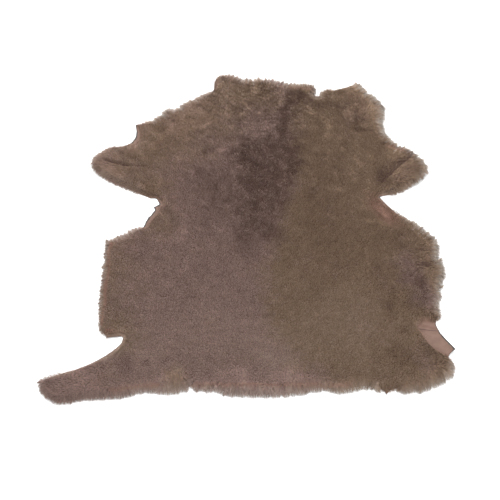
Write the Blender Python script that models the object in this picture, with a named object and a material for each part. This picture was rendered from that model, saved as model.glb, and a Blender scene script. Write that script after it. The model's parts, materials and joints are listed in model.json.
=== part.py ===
"""A whole shorn sheepskin, lying wool side up on a flat surface.

Metres, +Z up. The neck points to +Y and the rump to -Y. The origin is the middle of the footprint, on the
surface that the skin lies on. The pelt is one piece, a leather skin with its own wool on it, so it is one
solid. Where the wool is worn away or cut short, the solid thins down to the bare leather.
"""

import math
import random
from bisect import bisect_right
from collections import namedtuple

import bmesh
import bpy
from mathutils import Vector, geometry, kdtree, noise

# Driving sizes of the pelt
LEATHER = 0.0016        # thickness of the tanned skin
PILE = 0.0175           # height of the shorn wool above the leather
RIM_ROUND = 0.020       # how far in from the rim the wool reaches its full height
BARE_MARGIN = 0.016     # how far in from a bare edge the wool is back
OVERHANG = 0.013        # how far the rim's wool reaches past the leather's cut edge

# The locks of wool at the rim
LOCK_PITCH = 0.0185     # width of one lock along the rim
LOCK_DEPTH = 0.011      # depth of the cleft between two locks
LOCK_VARIATION = 0.50   # how much one lock differs from the next
LOCK_SHORTFALL = 0.25   # how far the shortest tips stay behind the outline, as a share of LOCK_DEPTH
LOCK_LEAN = 0.15        # how far the tips lean along the rim, as a share of the lock's width
SEED = 7

# The lumps of the shorn wool, each (size across, height)
LUMPS = ((0.085, 0.0022), (0.034, 0.0016))

# The spacing of the points that carry the surface, and the room kept round them
LATTICE = 0.0205        # over the wool
LIFTED_LATTICE = 0.030  # over the underside where it lifts
FLAT_LATTICE = 0.080    # over the rest of the underside
FOLD_STEP = 0.013       # along and across a fold of the wool
CLEAR_OF_RIM = 0.0045   # kept free of points beside the rim
RING_GAP = 0.0050       # kept between the points of the rings
FOLD_GAP = 0.0080       # kept round a fold's points
LATTICE_GAP = 0.0120    # kept round a lattice's points
LINE_STEPS = 12         # points of the outline between two landmarks
MERGE_DISTANCE = 0.000001
INSIDE_THE_LOOP = 1     # the triangulation's setting that fills the loop and nothing outside it

HANDLE_SHARE = 0.36     # length of an outline's handles, as a share of the distance to the next landmark
WOOL_COLOUR = (0.162, 0.109, 0.084, 1.0)

# The pelt's outline, anticlockwise from the nape: where the wool's tips or the bare leather's edge lie.
# wool is the share of the full rim of wool there, from 0 at bare leather to 1.
Landmark = namedtuple("Landmark", "name across along turn wool")
OUTLINE = (
    Landmark("nape notch", 0.193, 0.428, "sharp", 0.5),
    Landmark("nape lip", 0.183, 0.463, "smooth", 0.8),
    Landmark("neck edge right", 0.124, 0.468, "smooth", 0.8),
    Landmark("neck edge middle", 0.060, 0.489, "smooth", 0.8),
    Landmark("neck edge dip", -0.004, 0.482, "smooth", 0.8),
    Landmark("neck crown", -0.072, 0.505, "smooth", 0.6),
    Landmark("neck corner", -0.103, 0.480, "smooth", 0.2),
    Landmark("neck side", -0.112, 0.441, "smooth", 0.2),
    Landmark("neck slope", -0.188, 0.400, "smooth", 0.7),
    Landmark("neck slope dip", -0.203, 0.379, "smooth", 0.8),
    Landmark("shoulder slope", -0.234, 0.376, "smooth", 0.9),
    Landmark("shoulder dip", -0.271, 0.338, "smooth", 0.8),
    Landmark("shoulder corner", -0.322, 0.320, "sharp", 0.2),
    Landmark("bare shoulder edge", -0.316, 0.286, "smooth", 0.0),
    Landmark("bare shoulder foot", -0.326, 0.262, "smooth", 0.0),
    Landmark("left foreleg root", -0.353, 0.241, "smooth", 0.1),
    Landmark("left foreleg top", -0.394, 0.235, "smooth", 0.35),
    Landmark("left foreleg brow", -0.421, 0.211, "smooth", 0.4),
    Landmark("left foreleg tip", -0.437, 0.186, "smooth", 0.4),
    Landmark("left foreleg chin", -0.430, 0.159, "smooth", 0.4),
    Landmark("left foreleg underside", -0.396, 0.129, "smooth", 0.5),
    Landmark("left elbow", -0.318, 0.090, "smooth", 0.4),
    Landmark("left elbow corner", -0.275, 0.071, "sharp", 0.1),
    Landmark("left armpit lip", -0.256, 0.074, "smooth", 0.1),
    Landmark("left armpit notch", -0.242, 0.052, "sharp", 0.1),
    Landmark("left armpit edge", -0.258, 0.026, "smooth", 0.0),
    Landmark("left armpit foot", -0.281, -0.019, "smooth", 0.1),
    Landmark("left flank slope", -0.318, -0.034, "smooth", 0.7),
    Landmark("left flank corner", -0.375, -0.065, "sharp", 0.6),
    Landmark("left flank", -0.375, -0.148, "smooth", 0.5),
    Landmark("left belly", -0.380, -0.215, "smooth", 0.5),
    Landmark("left belly foot", -0.374, -0.310, "smooth", 0.4),
    Landmark("left stifle corner", -0.352, -0.338, "sharp", 0.2),
    Landmark("left stifle notch", -0.311, -0.335, "sharp", 0.1),
    Landmark("left hind leg root", -0.313, -0.352, "smooth", 0.1),
    Landmark("left hind leg bend", -0.351, -0.387, "smooth", 0.1),
    Landmark("left hind leg edge", -0.404, -0.414, "smooth", 0.1),
    Landmark("left hind leg shin", -0.468, -0.436, "smooth", 0.3),
    Landmark("left hock", -0.501, -0.458, "smooth", 0.45),
    Landmark("left hock cut", -0.465, -0.505, "smooth", 0.45),
    Landmark("left hind leg sole", -0.385, -0.502, "smooth", 0.6),
    Landmark("left thigh", -0.302, -0.494, "smooth", 0.8),
    Landmark("left buttock dip", -0.249, -0.482, "smooth", 0.9),
    Landmark("left buttock", -0.195, -0.488, "smooth", 1.0),
    Landmark("rump nick left", -0.141, -0.475, "smooth", 0.9),
    Landmark("rump left", -0.078, -0.481, "smooth", 1.0),
    Landmark("rump lobe left", -0.050, -0.489, "smooth", 1.0),
    Landmark("rump middle", 0.020, -0.489, "smooth", 1.0),
    Landmark("rump lobe right", 0.100, -0.490, "smooth", 1.0),
    Landmark("rump nick right", 0.174, -0.475, "smooth", 1.0),
    Landmark("rump right", 0.205, -0.483, "smooth", 1.0),
    Landmark("right buttock dip", 0.276, -0.474, "smooth", 1.0),
    Landmark("right buttock", 0.330, -0.480, "smooth", 0.9),
    Landmark("right thigh", 0.400, -0.481, "smooth", 1.0),
    Landmark("right hind lobe", 0.483, -0.443, "smooth", 1.0),
    Landmark("right hind cheek", 0.494, -0.409, "smooth", 0.9),
    Landmark("right hind nick", 0.480, -0.383, "sharp", 0.2),
    Landmark("bare leather tip", 0.498, -0.371, "sharp", 0.0),
    Landmark("bare leather edge", 0.464, -0.331, "smooth", 0.0),
    Landmark("bare leather head", 0.455, -0.296, "sharp", 0.1),
    Landmark("right belly foot", 0.477, -0.282, "smooth", 1.0),
    Landmark("right belly dip", 0.480, -0.213, "smooth", 1.0),
    Landmark("right belly", 0.499, -0.160, "smooth", 1.0),
    Landmark("right flank dip", 0.488, -0.108, "smooth", 1.0),
    Landmark("right flank", 0.490, -0.065, "smooth", 1.0),
    Landmark("right flank slope", 0.451, -0.022, "smooth", 0.9),
    Landmark("right armpit edge", 0.392, 0.021, "smooth", 0.3),
    Landmark("right armpit notch", 0.352, 0.072, "sharp", 0.0),
    Landmark("right elbow", 0.397, 0.084, "smooth", 0.5),
    Landmark("right foreleg underside", 0.465, 0.120, "smooth", 0.8),
    Landmark("right foreleg tip", 0.491, 0.160, "smooth", 0.9),
    Landmark("right foreleg top", 0.441, 0.233, "smooth", 0.8),
    Landmark("right foreleg root", 0.399, 0.258, "smooth", 0.8),
    Landmark("right shoulder dip", 0.380, 0.304, "smooth", 1.0),
    Landmark("right neck lobe", 0.389, 0.368, "smooth", 1.0),
    Landmark("right neck shoulder", 0.375, 0.403, "smooth", 1.0),
    Landmark("right neck slope", 0.337, 0.438, "smooth", 0.9),
    Landmark("right neck crown", 0.314, 0.470, "smooth", 0.9),
    Landmark("nape edge right", 0.262, 0.444, "smooth", 0.3),
    Landmark("nape edge left", 0.216, 0.444, "smooth", 0.3),
)

# The points of one lock, from the cleft before it to its tip. along is a share of the lock's width, inset a
# share of LOCK_DEPTH, and low and high are the heights of its underside and its top at full wool.
LockPoint = namedtuple("LockPoint", "name along inset low high")
LOCK = (
    LockPoint("cleft", 0.00, 1.00, 0.0012, 0.0080),
    LockPoint("flank", 0.34, 0.34, 0.0018, 0.0062),
    LockPoint("tip", 0.62, 0.00, 0.0022, 0.0044),
)

# The rings of points behind the rim, each behind one point of every lock, at a depth from the outline.
# sink is how far the surface lies below the even pile there.
Ring = namedtuple("Ring", "behind depth sink")
RINGS = (
    Ring("tip", 0.0085, 0.0000),
    Ring("cleft", 0.0180, 0.0034),
    Ring("tip", 0.0210, -0.0006),
)

# The patches where the leather shows: an oval about a middle, with its long side turned from +X. The wool
# is gone within PATCH_BARE times the oval and back at PATCH_FULL times the oval.
PATCH_BARE = 0.75
PATCH_FULL = 1.25
Patch = namedtuple("Patch", "name across along half_long half_short turn_deg")
BARE_PATCHES = (
    Patch("right flank", 0.455, -0.338, 0.056, 0.030, -55),
    Patch("right flank head", 0.432, -0.312, 0.028, 0.017, 0),
    Patch("right armpit", 0.343, 0.032, 0.046, 0.020, -52),
    Patch("left shoulder", -0.312, 0.264, 0.037, 0.014, 83),
    Patch("left armpit", -0.253, 0.018, 0.043, 0.014, 68),
)

# What happens along a line, fading out over the spread on each side of it.
Fold = namedtuple("Fold", "name x0 y0 x1 y1 spread size")

# Where the leather lifts off the surface.
LIFTS = (
    Fold("left foreleg tip", -0.440, 0.202, -0.434, 0.160, 0.075, 0.008),
    Fold("right foreleg tip", 0.492, 0.175, 0.482, 0.135, 0.080, 0.007),
    Fold("neck corner", -0.105, 0.490, -0.112, 0.450, 0.070, 0.005),
    Fold("shoulder corner", -0.325, 0.315, -0.320, 0.290, 0.045, 0.005),
    Fold("left stifle corner", -0.365, -0.325, -0.345, -0.335, 0.050, 0.004),
    Fold("left hock", -0.500, -0.460, -0.480, -0.485, 0.070, 0.005),
    Fold("bare leather tip", 0.505, -0.372, 0.480, -0.348, 0.055, 0.008),
    Fold("bare leather pleat", 0.415, -0.311, 0.462, -0.322, 0.015, 0.004),
    Fold("nape edge", 0.274, 0.450, 0.216, 0.452, 0.045, 0.004),
)

# Where the wool sinks, or, with a size below zero, swells.
WOOL_FOLDS = (
    Fold("left foreleg crease", -0.410, 0.183, -0.335, 0.169, 0.016, 0.0090),
    Fold("left foreleg crease end", -0.335, 0.169, -0.292, 0.160, 0.016, 0.0040),
    Fold("right foreleg crease", 0.432, 0.198, 0.356, 0.120, 0.022, 0.0080),
    Fold("right foreleg lobe", 0.445, 0.160, 0.392, 0.112, 0.030, -0.0030),
    Fold("right foreleg root", 0.384, 0.240, 0.352, 0.230, 0.020, 0.0040),
    Fold("neck lobe crease", 0.358, 0.298, 0.300, 0.288, 0.018, 0.0055),
    Fold("neck lobe", 0.350, 0.338, 0.330, 0.420, 0.045, -0.0022),
    Fold("nape parting", 0.191, 0.420, 0.168, 0.360, 0.024, 0.0045),
    Fold("withers hollow", 0.110, 0.260, 0.040, 0.080, 0.070, 0.0030),
    Fold("left neck hollow", -0.036, 0.372, -0.020, 0.330, 0.024, 0.0035),
    Fold("rump parting left", -0.207, -0.425, -0.214, -0.470, 0.020, 0.0045),
    Fold("rump parting middle", -0.062, -0.438, -0.064, -0.482, 0.020, 0.0045),
    Fold("rump parting right", 0.062, -0.440, 0.078, -0.482, 0.022, 0.0045),
    Fold("rump tuft left", -0.180, -0.435, -0.170, -0.460, 0.026, -0.0028),
    Fold("rump tuft middle", -0.020, -0.440, -0.018, -0.465, 0.030, -0.0022),
    Fold("rump tuft right", 0.108, -0.440, 0.112, -0.465, 0.026, -0.0028),
    Fold("right flank parting", 0.412, -0.122, 0.470, -0.118, 0.020, 0.0045),
    Fold("right flank hollow", 0.405, -0.180, 0.450, -0.200, 0.024, 0.0035),
)


def smooth(share):
    """A share from 0 to 1 with its two ends eased."""
    share = min(max(share, 0.0), 1.0)
    return share * share * (3.0 - 2.0 * share)


def distance_to_segment(here, start, end):
    """The distance from a point to the straight line between two others."""
    nearest, share = geometry.intersect_point_line(here, start, end)
    if share < 0.0:
        nearest = start
    elif share > 1.0:
        nearest = end
    return (here - nearest.to_2d()).length


def along_folds(x, y, folds):
    """The sum of what the folds add at a point: each one's size on its line, fading over its spread."""
    total = 0.0
    for fold in folds:
        start, end = Vector((fold.x0, fold.y0)), Vector((fold.x1, fold.y1))
        total += fold.size * smooth(1.0 - distance_to_segment(Vector((x, y)), start, end) / fold.spread)
    return total


def patch_cover(x, y):
    """The share of wool that the bare patches leave at a point."""
    cover = 1.0
    for patch in BARE_PATCHES:
        turn = math.radians(patch.turn_deg)
        dx, dy = x - patch.across, y - patch.along
        long = (dx * math.cos(turn) + dy * math.sin(turn)) / patch.half_long
        short = (dy * math.cos(turn) - dx * math.sin(turn)) / patch.half_short
        cover *= smooth((math.hypot(long, short) - PATCH_BARE) / (PATCH_FULL - PATCH_BARE))
    return cover


def fine_line():
    """The outline as closely spaced (x, y, wool) points, by a Bezier curve through the landmarks."""
    knots = [Vector((row.across, row.along, 0.0)) for row in OUTLINE]
    arriving, leaving = [], []
    for i, row in enumerate(OUTLINE):
        before, here, after = knots[i - 1], knots[i], knots[(i + 1) % len(knots)]
        back, ahead = before - here, after - here
        if row.turn == "smooth":
            chord = (after - before).normalized()
            back, ahead = -chord * back.length, chord * ahead.length
        arriving.append(here + back * HANDLE_SHARE)
        leaving.append(here + ahead * HANDLE_SHARE)
    line = []
    for i, row in enumerate(OUTLINE):
        j = (i + 1) % len(knots)
        points = geometry.interpolate_bezier(knots[i], leaving[i], arriving[j], knots[j], LINE_STEPS + 1)
        for step, point in enumerate(points[:-1]):
            share = step / LINE_STEPS
            line.append((point.x, point.y, row.wool * (1.0 - share) + OUTLINE[j].wool * share))
    return line


class Rim:
    """The pelt's outline, read by the length along it or by the nearest point on it."""

    REACH = 0.004  # the outward direction is taken over this length on each side

    def __init__(self, line):
        self.line = line
        self.lengths = [0.0]
        for (x0, y0, _), (x1, y1, _) in zip(line, line[1:] + line[:1]):
            self.lengths.append(self.lengths[-1] + math.hypot(x1 - x0, y1 - y0))
        self.length = self.lengths[-1]
        self.tree = kdtree.KDTree(len(line))
        for i, (x, y, _) in enumerate(line):
            self.tree.insert((x, y, 0.0), i)
        self.tree.balance()

    def at(self, length):
        """(x, y, wool) at a length along the outline."""
        length %= self.length
        i = min(bisect_right(self.lengths, length), len(self.line)) - 1
        share = (length - self.lengths[i]) / (self.lengths[i + 1] - self.lengths[i])
        start, end = self.line[i], self.line[(i + 1) % len(self.line)]
        return tuple(a * (1.0 - share) + b * share for a, b in zip(start, end))

    def outward(self, length):
        """The direction out of the pelt at a length along the outline."""
        x0, y0, _ = self.at(length - self.REACH)
        x1, y1, _ = self.at(length + self.REACH)
        return Vector((y1 - y0, x0 - x1)).normalized()

    def inset(self, length, depth):
        """A point at a depth inside the outline."""
        x, y, _ = self.at(length)
        return Vector((x, y)) - self.outward(length) * depth

    def nearest(self, x, y):
        """(distance from the outline, share of wool there)."""
        _, index, distance = self.tree.find((x, y, 0.0))
        return distance, self.line[index][2]


def lift(x, y):
    """How far the leather stands off the surface."""
    return along_folds(x, y, LIFTS)


def cover_at(rim, x, y):
    """The share of wool at a point, which grows back inwards from a bare edge."""
    depth, wool = rim.nearest(x, y)
    return patch_cover(x, y) * (wool + (1.0 - wool) * smooth(depth / BARE_MARGIN))


def fleece_top(rim, x, y, sink=0.0):
    """The height of the pelt's upper side."""
    depth, _ = rim.nearest(x, y)
    into = min(depth / RIM_ROUND, 1.0)
    swell = math.sqrt(1.0 - (1.0 - into) ** 2)
    pile = LOCK[-1].high + (PILE - LOCK[-1].high) * swell
    pile += swell * sum(height * noise.noise(Vector((x / size, y / size, size))) for size, height in LUMPS)
    pile -= sink + swell * along_folds(x, y, WOOL_FOLDS)
    return lift(x, y) + LEATHER + cover_at(rim, x, y) * max(pile, 0.0)


def lock_points(rim):
    """The rim's locks in order, each a list of (length along the outline, inset, LOCK row)."""
    chance = random.Random(SEED)
    count = round(rim.length / LOCK_PITCH)
    widths = [1.0 + LOCK_VARIATION * chance.uniform(-1.0, 1.0) for _ in range(count)]
    unit = rim.length / sum(widths)
    locks, start = [], 0.0
    for width in widths:
        depth = LOCK_DEPTH * (1.0 + LOCK_VARIATION * chance.uniform(-1.0, 1.0))
        shortfall = LOCK_SHORTFALL * LOCK_DEPTH * chance.random()
        lean = LOCK_LEAN * chance.uniform(-1.0, 1.0)
        lock = []
        for point in LOCK:
            length = start + width * unit * (point.along + lean * (1.0 - point.inset))
            wool = rim.at(length)[2]
            inset = wool * (shortfall + (depth - shortfall) * point.inset)
            lock.append((length, inset, point))
        locks.append(lock)
        start += width * unit
    return locks


def rim_loops(rim, locks):
    """The pelt's edge as two loops of points, one above the other: the underside's and the top's."""
    low_loop, high_loop = [], []
    for lock in locks:
        for length, inset, point in lock:
            x, y = rim.inset(length, inset)
            wool = rim.at(length)[2] * patch_cover(x, y)
            ground = lift(x, y)
            low_loop.append(Vector((x, y, ground + wool * point.low)))
            high_loop.append(Vector((x, y, ground + (1.0 - wool) * LEATHER + wool * point.high)))
    return low_loop, high_loop


def lattice(low, high, spacing):
    """Points in staggered rows over the box from low to high."""
    row_step = spacing * math.sqrt(3.0) / 2.0
    rows = int((high[1] - low[1]) / row_step)
    columns = int((high[0] - low[0]) / spacing)
    for row in range(rows + 1):
        for column in range(columns + 1):
            yield low[0] + (column + 0.5 * (row % 2)) * spacing, low[1] + row * row_step


def inside(x, y, loop):
    """Whether a point is inside a closed loop, by counting the sides that a ray crosses."""
    crossed = False
    for a, b in zip(loop, loop[1:] + loop[:1]):
        if (a.y > y) != (b.y > y) and x < a.x + (y - a.y) / (b.y - a.y) * (b.x - a.x):
            crossed = not crossed
    return crossed


def kept_clear(candidates, loop):
    """The candidates (x, y, sink, gap) that lie inside the loop, clear of it and of those already kept."""
    kept = []
    sides = list(zip(loop, loop[1:] + loop[:1]))
    for x, y, sink, gap in candidates:
        here = Vector((x, y))
        if any(math.hypot(x - k[0], y - k[1]) < gap for k in kept):
            continue
        if not inside(x, y, loop):
            continue
        near = [(a, b) for a, b in sides if max(abs(a.x - x), abs(a.y - y)) < 2.0 * LOCK_PITCH]
        if all(distance_to_segment(here, a.to_2d(), b.to_2d()) >= CLEAR_OF_RIM for a, b in near):
            kept.append((x, y, sink))
    return kept


def triangles(loop, inner):
    """Triangles that fill the loop through the inner points, as indices into loop and then inner."""
    points = [p.to_2d() for p in loop] + [Vector((x, y)) for x, y, _ in inner]
    sides = [(i, (i + 1) % len(loop)) for i in range(len(loop))]
    made = geometry.delaunay_2d_cdt(points, sides, [], INSIDE_THE_LOOP, MERGE_DISTANCE)
    source = [origins[0] for origins in made[3]]
    return [[source[i] for i in face] for face in made[2]]


def fold_points(fold):
    """Candidate points in rows along a fold: on its line and at half its spread and its full spread."""
    start, end = Vector((fold.x0, fold.y0)), Vector((fold.x1, fold.y1))
    run = end - start
    across = Vector((-run.y, run.x)).normalized() * fold.spread
    steps = max(round(run.length / FOLD_STEP), 1)
    points = []
    for side in (0.0, -0.5, 0.5, -1.0, 1.0):
        for step in range(steps + 1):
            x, y = start + run * step / steps + across * side
            points.append((x, y, 0.0, FOLD_GAP))
    return points


def patch_points(patch):
    """Candidate points round a bare patch: where the wool ends and where it is back."""
    turn = math.radians(patch.turn_deg)
    points = []
    for scale in (PATCH_BARE, PATCH_FULL):
        count = round(math.pi * (patch.half_long + patch.half_short) * scale / FOLD_STEP)
        for i in range(count):
            long = patch.half_long * scale * math.cos(math.tau * i / count)
            short = patch.half_short * scale * math.sin(math.tau * i / count)
            x = patch.across + long * math.cos(turn) - short * math.sin(turn)
            y = patch.along + long * math.sin(turn) + short * math.cos(turn)
            points.append((x, y, 0.0, FOLD_GAP))
    return points


def top_points(rim, locks, loop):
    """The inner points of the upper side: rings behind the locks, bare patches, folds, then the middle."""
    candidates = []
    for ring in RINGS:
        for lock in locks:
            length, inset, _ = next(entry for entry in lock if entry[2].name == ring.behind)
            x, y = rim.inset(length, max(ring.depth, inset + CLEAR_OF_RIM))
            candidates.append((x, y, ring.sink * rim.at(length)[2], RING_GAP))
    for patch in BARE_PATCHES:
        candidates += patch_points(patch)
    for fold in WOOL_FOLDS:
        candidates += fold_points(fold)
    low = [min(p[axis] for p in loop) for axis in (0, 1)]
    high = [max(p[axis] for p in loop) for axis in (0, 1)]
    for x, y in lattice(low, high, LATTICE):
        if rim.nearest(x, y)[0] > RINGS[-1].depth:
            candidates.append((x, y, 0.0, LATTICE_GAP))
    return kept_clear(candidates, loop)


def under_points(rim, locks, loop):
    """The inner points of the underside: the leather's cut edge, then a lattice, finer where it lifts."""
    candidates = []
    for lock in locks:
        for length, inset, point in lock:
            if point.name != "flank":
                depth = max(OVERHANG * rim.at(length)[2], inset + RING_GAP)
                x, y = rim.inset(length, depth)
                candidates.append((x, y, 0.0, RING_GAP))
    low = [min(p[axis] for p in loop) for axis in (0, 1)]
    high = [max(p[axis] for p in loop) for axis in (0, 1)]
    for x, y in lattice(low, high, LIFTED_LATTICE):
        if lift(x, y) > 0.0:
            candidates.append((x, y, 0.0, LATTICE_GAP))
    for x, y in lattice(low, high, FLAT_LATTICE):
        candidates.append((x, y, 0.0, FLAT_LATTICE / 3.0))
    return kept_clear(candidates, loop)


def make_pelt(rim):
    """The pelt as one closed mesh: its underside, its edge and its lumpy top."""
    locks = lock_points(rim)
    low_loop, high_loop = rim_loops(rim, locks)
    upper = top_points(rim, locks, high_loop)
    under = under_points(rim, locks, low_loop)

    bm = bmesh.new()
    edge_low = [bm.verts.new(p) for p in low_loop]
    edge_high = [bm.verts.new(p) for p in high_loop]
    top = edge_high + [bm.verts.new((x, y, fleece_top(rim, x, y, sink))) for x, y, sink in upper]
    base = edge_low + [bm.verts.new((x, y, lift(x, y))) for x, y, _ in under]
    for face in triangles(high_loop, upper):
        bm.faces.new([top[i] for i in face])
    for face in triangles(low_loop, under):
        bm.faces.new([base[i] for i in reversed(face)])
    for i in range(len(low_loop)):
        j = (i + 1) % len(low_loop)
        bm.faces.new((edge_low[i], edge_low[j], edge_high[j], edge_high[i]))
    bmesh.ops.recalc_face_normals(bm, faces=bm.faces)

    low = [min(v.co[axis] for v in bm.verts) for axis in (0, 1)]
    high = [max(v.co[axis] for v in bm.verts) for axis in (0, 1)]
    middle = Vector(((low[0] + high[0]) / 2.0, (low[1] + high[1]) / 2.0, 0.0))
    bmesh.ops.translate(bm, verts=bm.verts, vec=-middle)
    mesh = bpy.data.meshes.new("sheepskin")
    bm.to_mesh(mesh)
    bm.free()
    mesh.shade_smooth()
    return mesh


def wool_material():
    """Dyed wool: a taupe brown with no shine."""
    material = bpy.data.materials.new("wool")
    material.use_nodes = True
    shader = material.node_tree.nodes["Principled BSDF"]
    shader.inputs["Base Color"].default_value = WOOL_COLOUR
    shader.inputs["Roughness"].default_value = 0.95
    shader.inputs["Metallic"].default_value = 0.0
    return material


def main():
    for obj in list(bpy.data.objects):
        bpy.data.objects.remove(obj)
    collection = bpy.data.collections.new("Sheepskin")
    bpy.context.scene.collection.children.link(collection)
    mesh = make_pelt(Rim(fine_line()))
    mesh.materials.append(wool_material())
    collection.objects.link(bpy.data.objects.new("sheepskin", mesh))


main()
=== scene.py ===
import json
import math
from collections import namedtuple

import bmesh
import bpy
import numpy as np
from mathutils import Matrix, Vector, geometry, kdtree, noise

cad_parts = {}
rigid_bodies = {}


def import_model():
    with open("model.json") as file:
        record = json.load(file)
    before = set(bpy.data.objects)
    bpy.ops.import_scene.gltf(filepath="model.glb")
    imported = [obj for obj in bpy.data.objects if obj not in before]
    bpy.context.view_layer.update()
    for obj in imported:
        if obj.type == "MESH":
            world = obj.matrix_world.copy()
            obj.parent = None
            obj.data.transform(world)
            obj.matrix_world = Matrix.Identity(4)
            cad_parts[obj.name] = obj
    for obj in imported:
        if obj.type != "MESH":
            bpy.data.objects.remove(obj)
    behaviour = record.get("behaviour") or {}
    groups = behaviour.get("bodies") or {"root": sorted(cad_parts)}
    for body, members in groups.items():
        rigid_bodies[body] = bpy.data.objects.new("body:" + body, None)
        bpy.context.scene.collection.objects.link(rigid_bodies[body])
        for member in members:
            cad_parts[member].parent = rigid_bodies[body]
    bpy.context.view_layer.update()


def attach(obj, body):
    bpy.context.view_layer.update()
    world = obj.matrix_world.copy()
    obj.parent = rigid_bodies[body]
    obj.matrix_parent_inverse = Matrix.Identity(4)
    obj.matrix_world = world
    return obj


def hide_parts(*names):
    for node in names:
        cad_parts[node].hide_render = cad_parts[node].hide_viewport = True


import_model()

scene = bpy.context.scene

# The hide: one tanned sheepskin, 1.6 mm thick, cut round with a knife and lying flat with its grain side up.
# It has the animal's outline: neck, forelegs, belly and hind legs. It shows only where the wool is gone.

MIDDLE = np.array((-0.00074, -0.00258))  # the footprint's middle, as the tables below measure
LEATHER = 0.0016        # thickness of the tanned skin
OVERHANG = 0.013        # how far the rim's wool reaches past the leather's cut edge
HANDLE_SHARE = 0.36     # length of an outline's handles, as a share of the distance to the next landmark
LINE_STEPS = 30         # points of the outline between two landmarks
CUT_STEP = 0.0026       # between two points of the cut edge
HIDE_LATTICE = 0.0130   # between the hide's points
BARE_LATTICE = 0.0042   # between its points where it shows
BARE_STRIP = 0.018      # how far in from a bare edge the leather may show
CLEAR_OF_CUT = 0.0022   # kept free of points behind the cut edge
CHARCOAL_BAND = 0.0062        # how far in from a bare cut edge the charcoal band reaches
BOX_MARGIN = 0.006      # how far the rows of points reach past the outline's box
MERGE_DISTANCE = 0.000001
INSIDE_THE_LOOP = 1     # the triangulation's setting that fills the loop and nothing outside it

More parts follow.
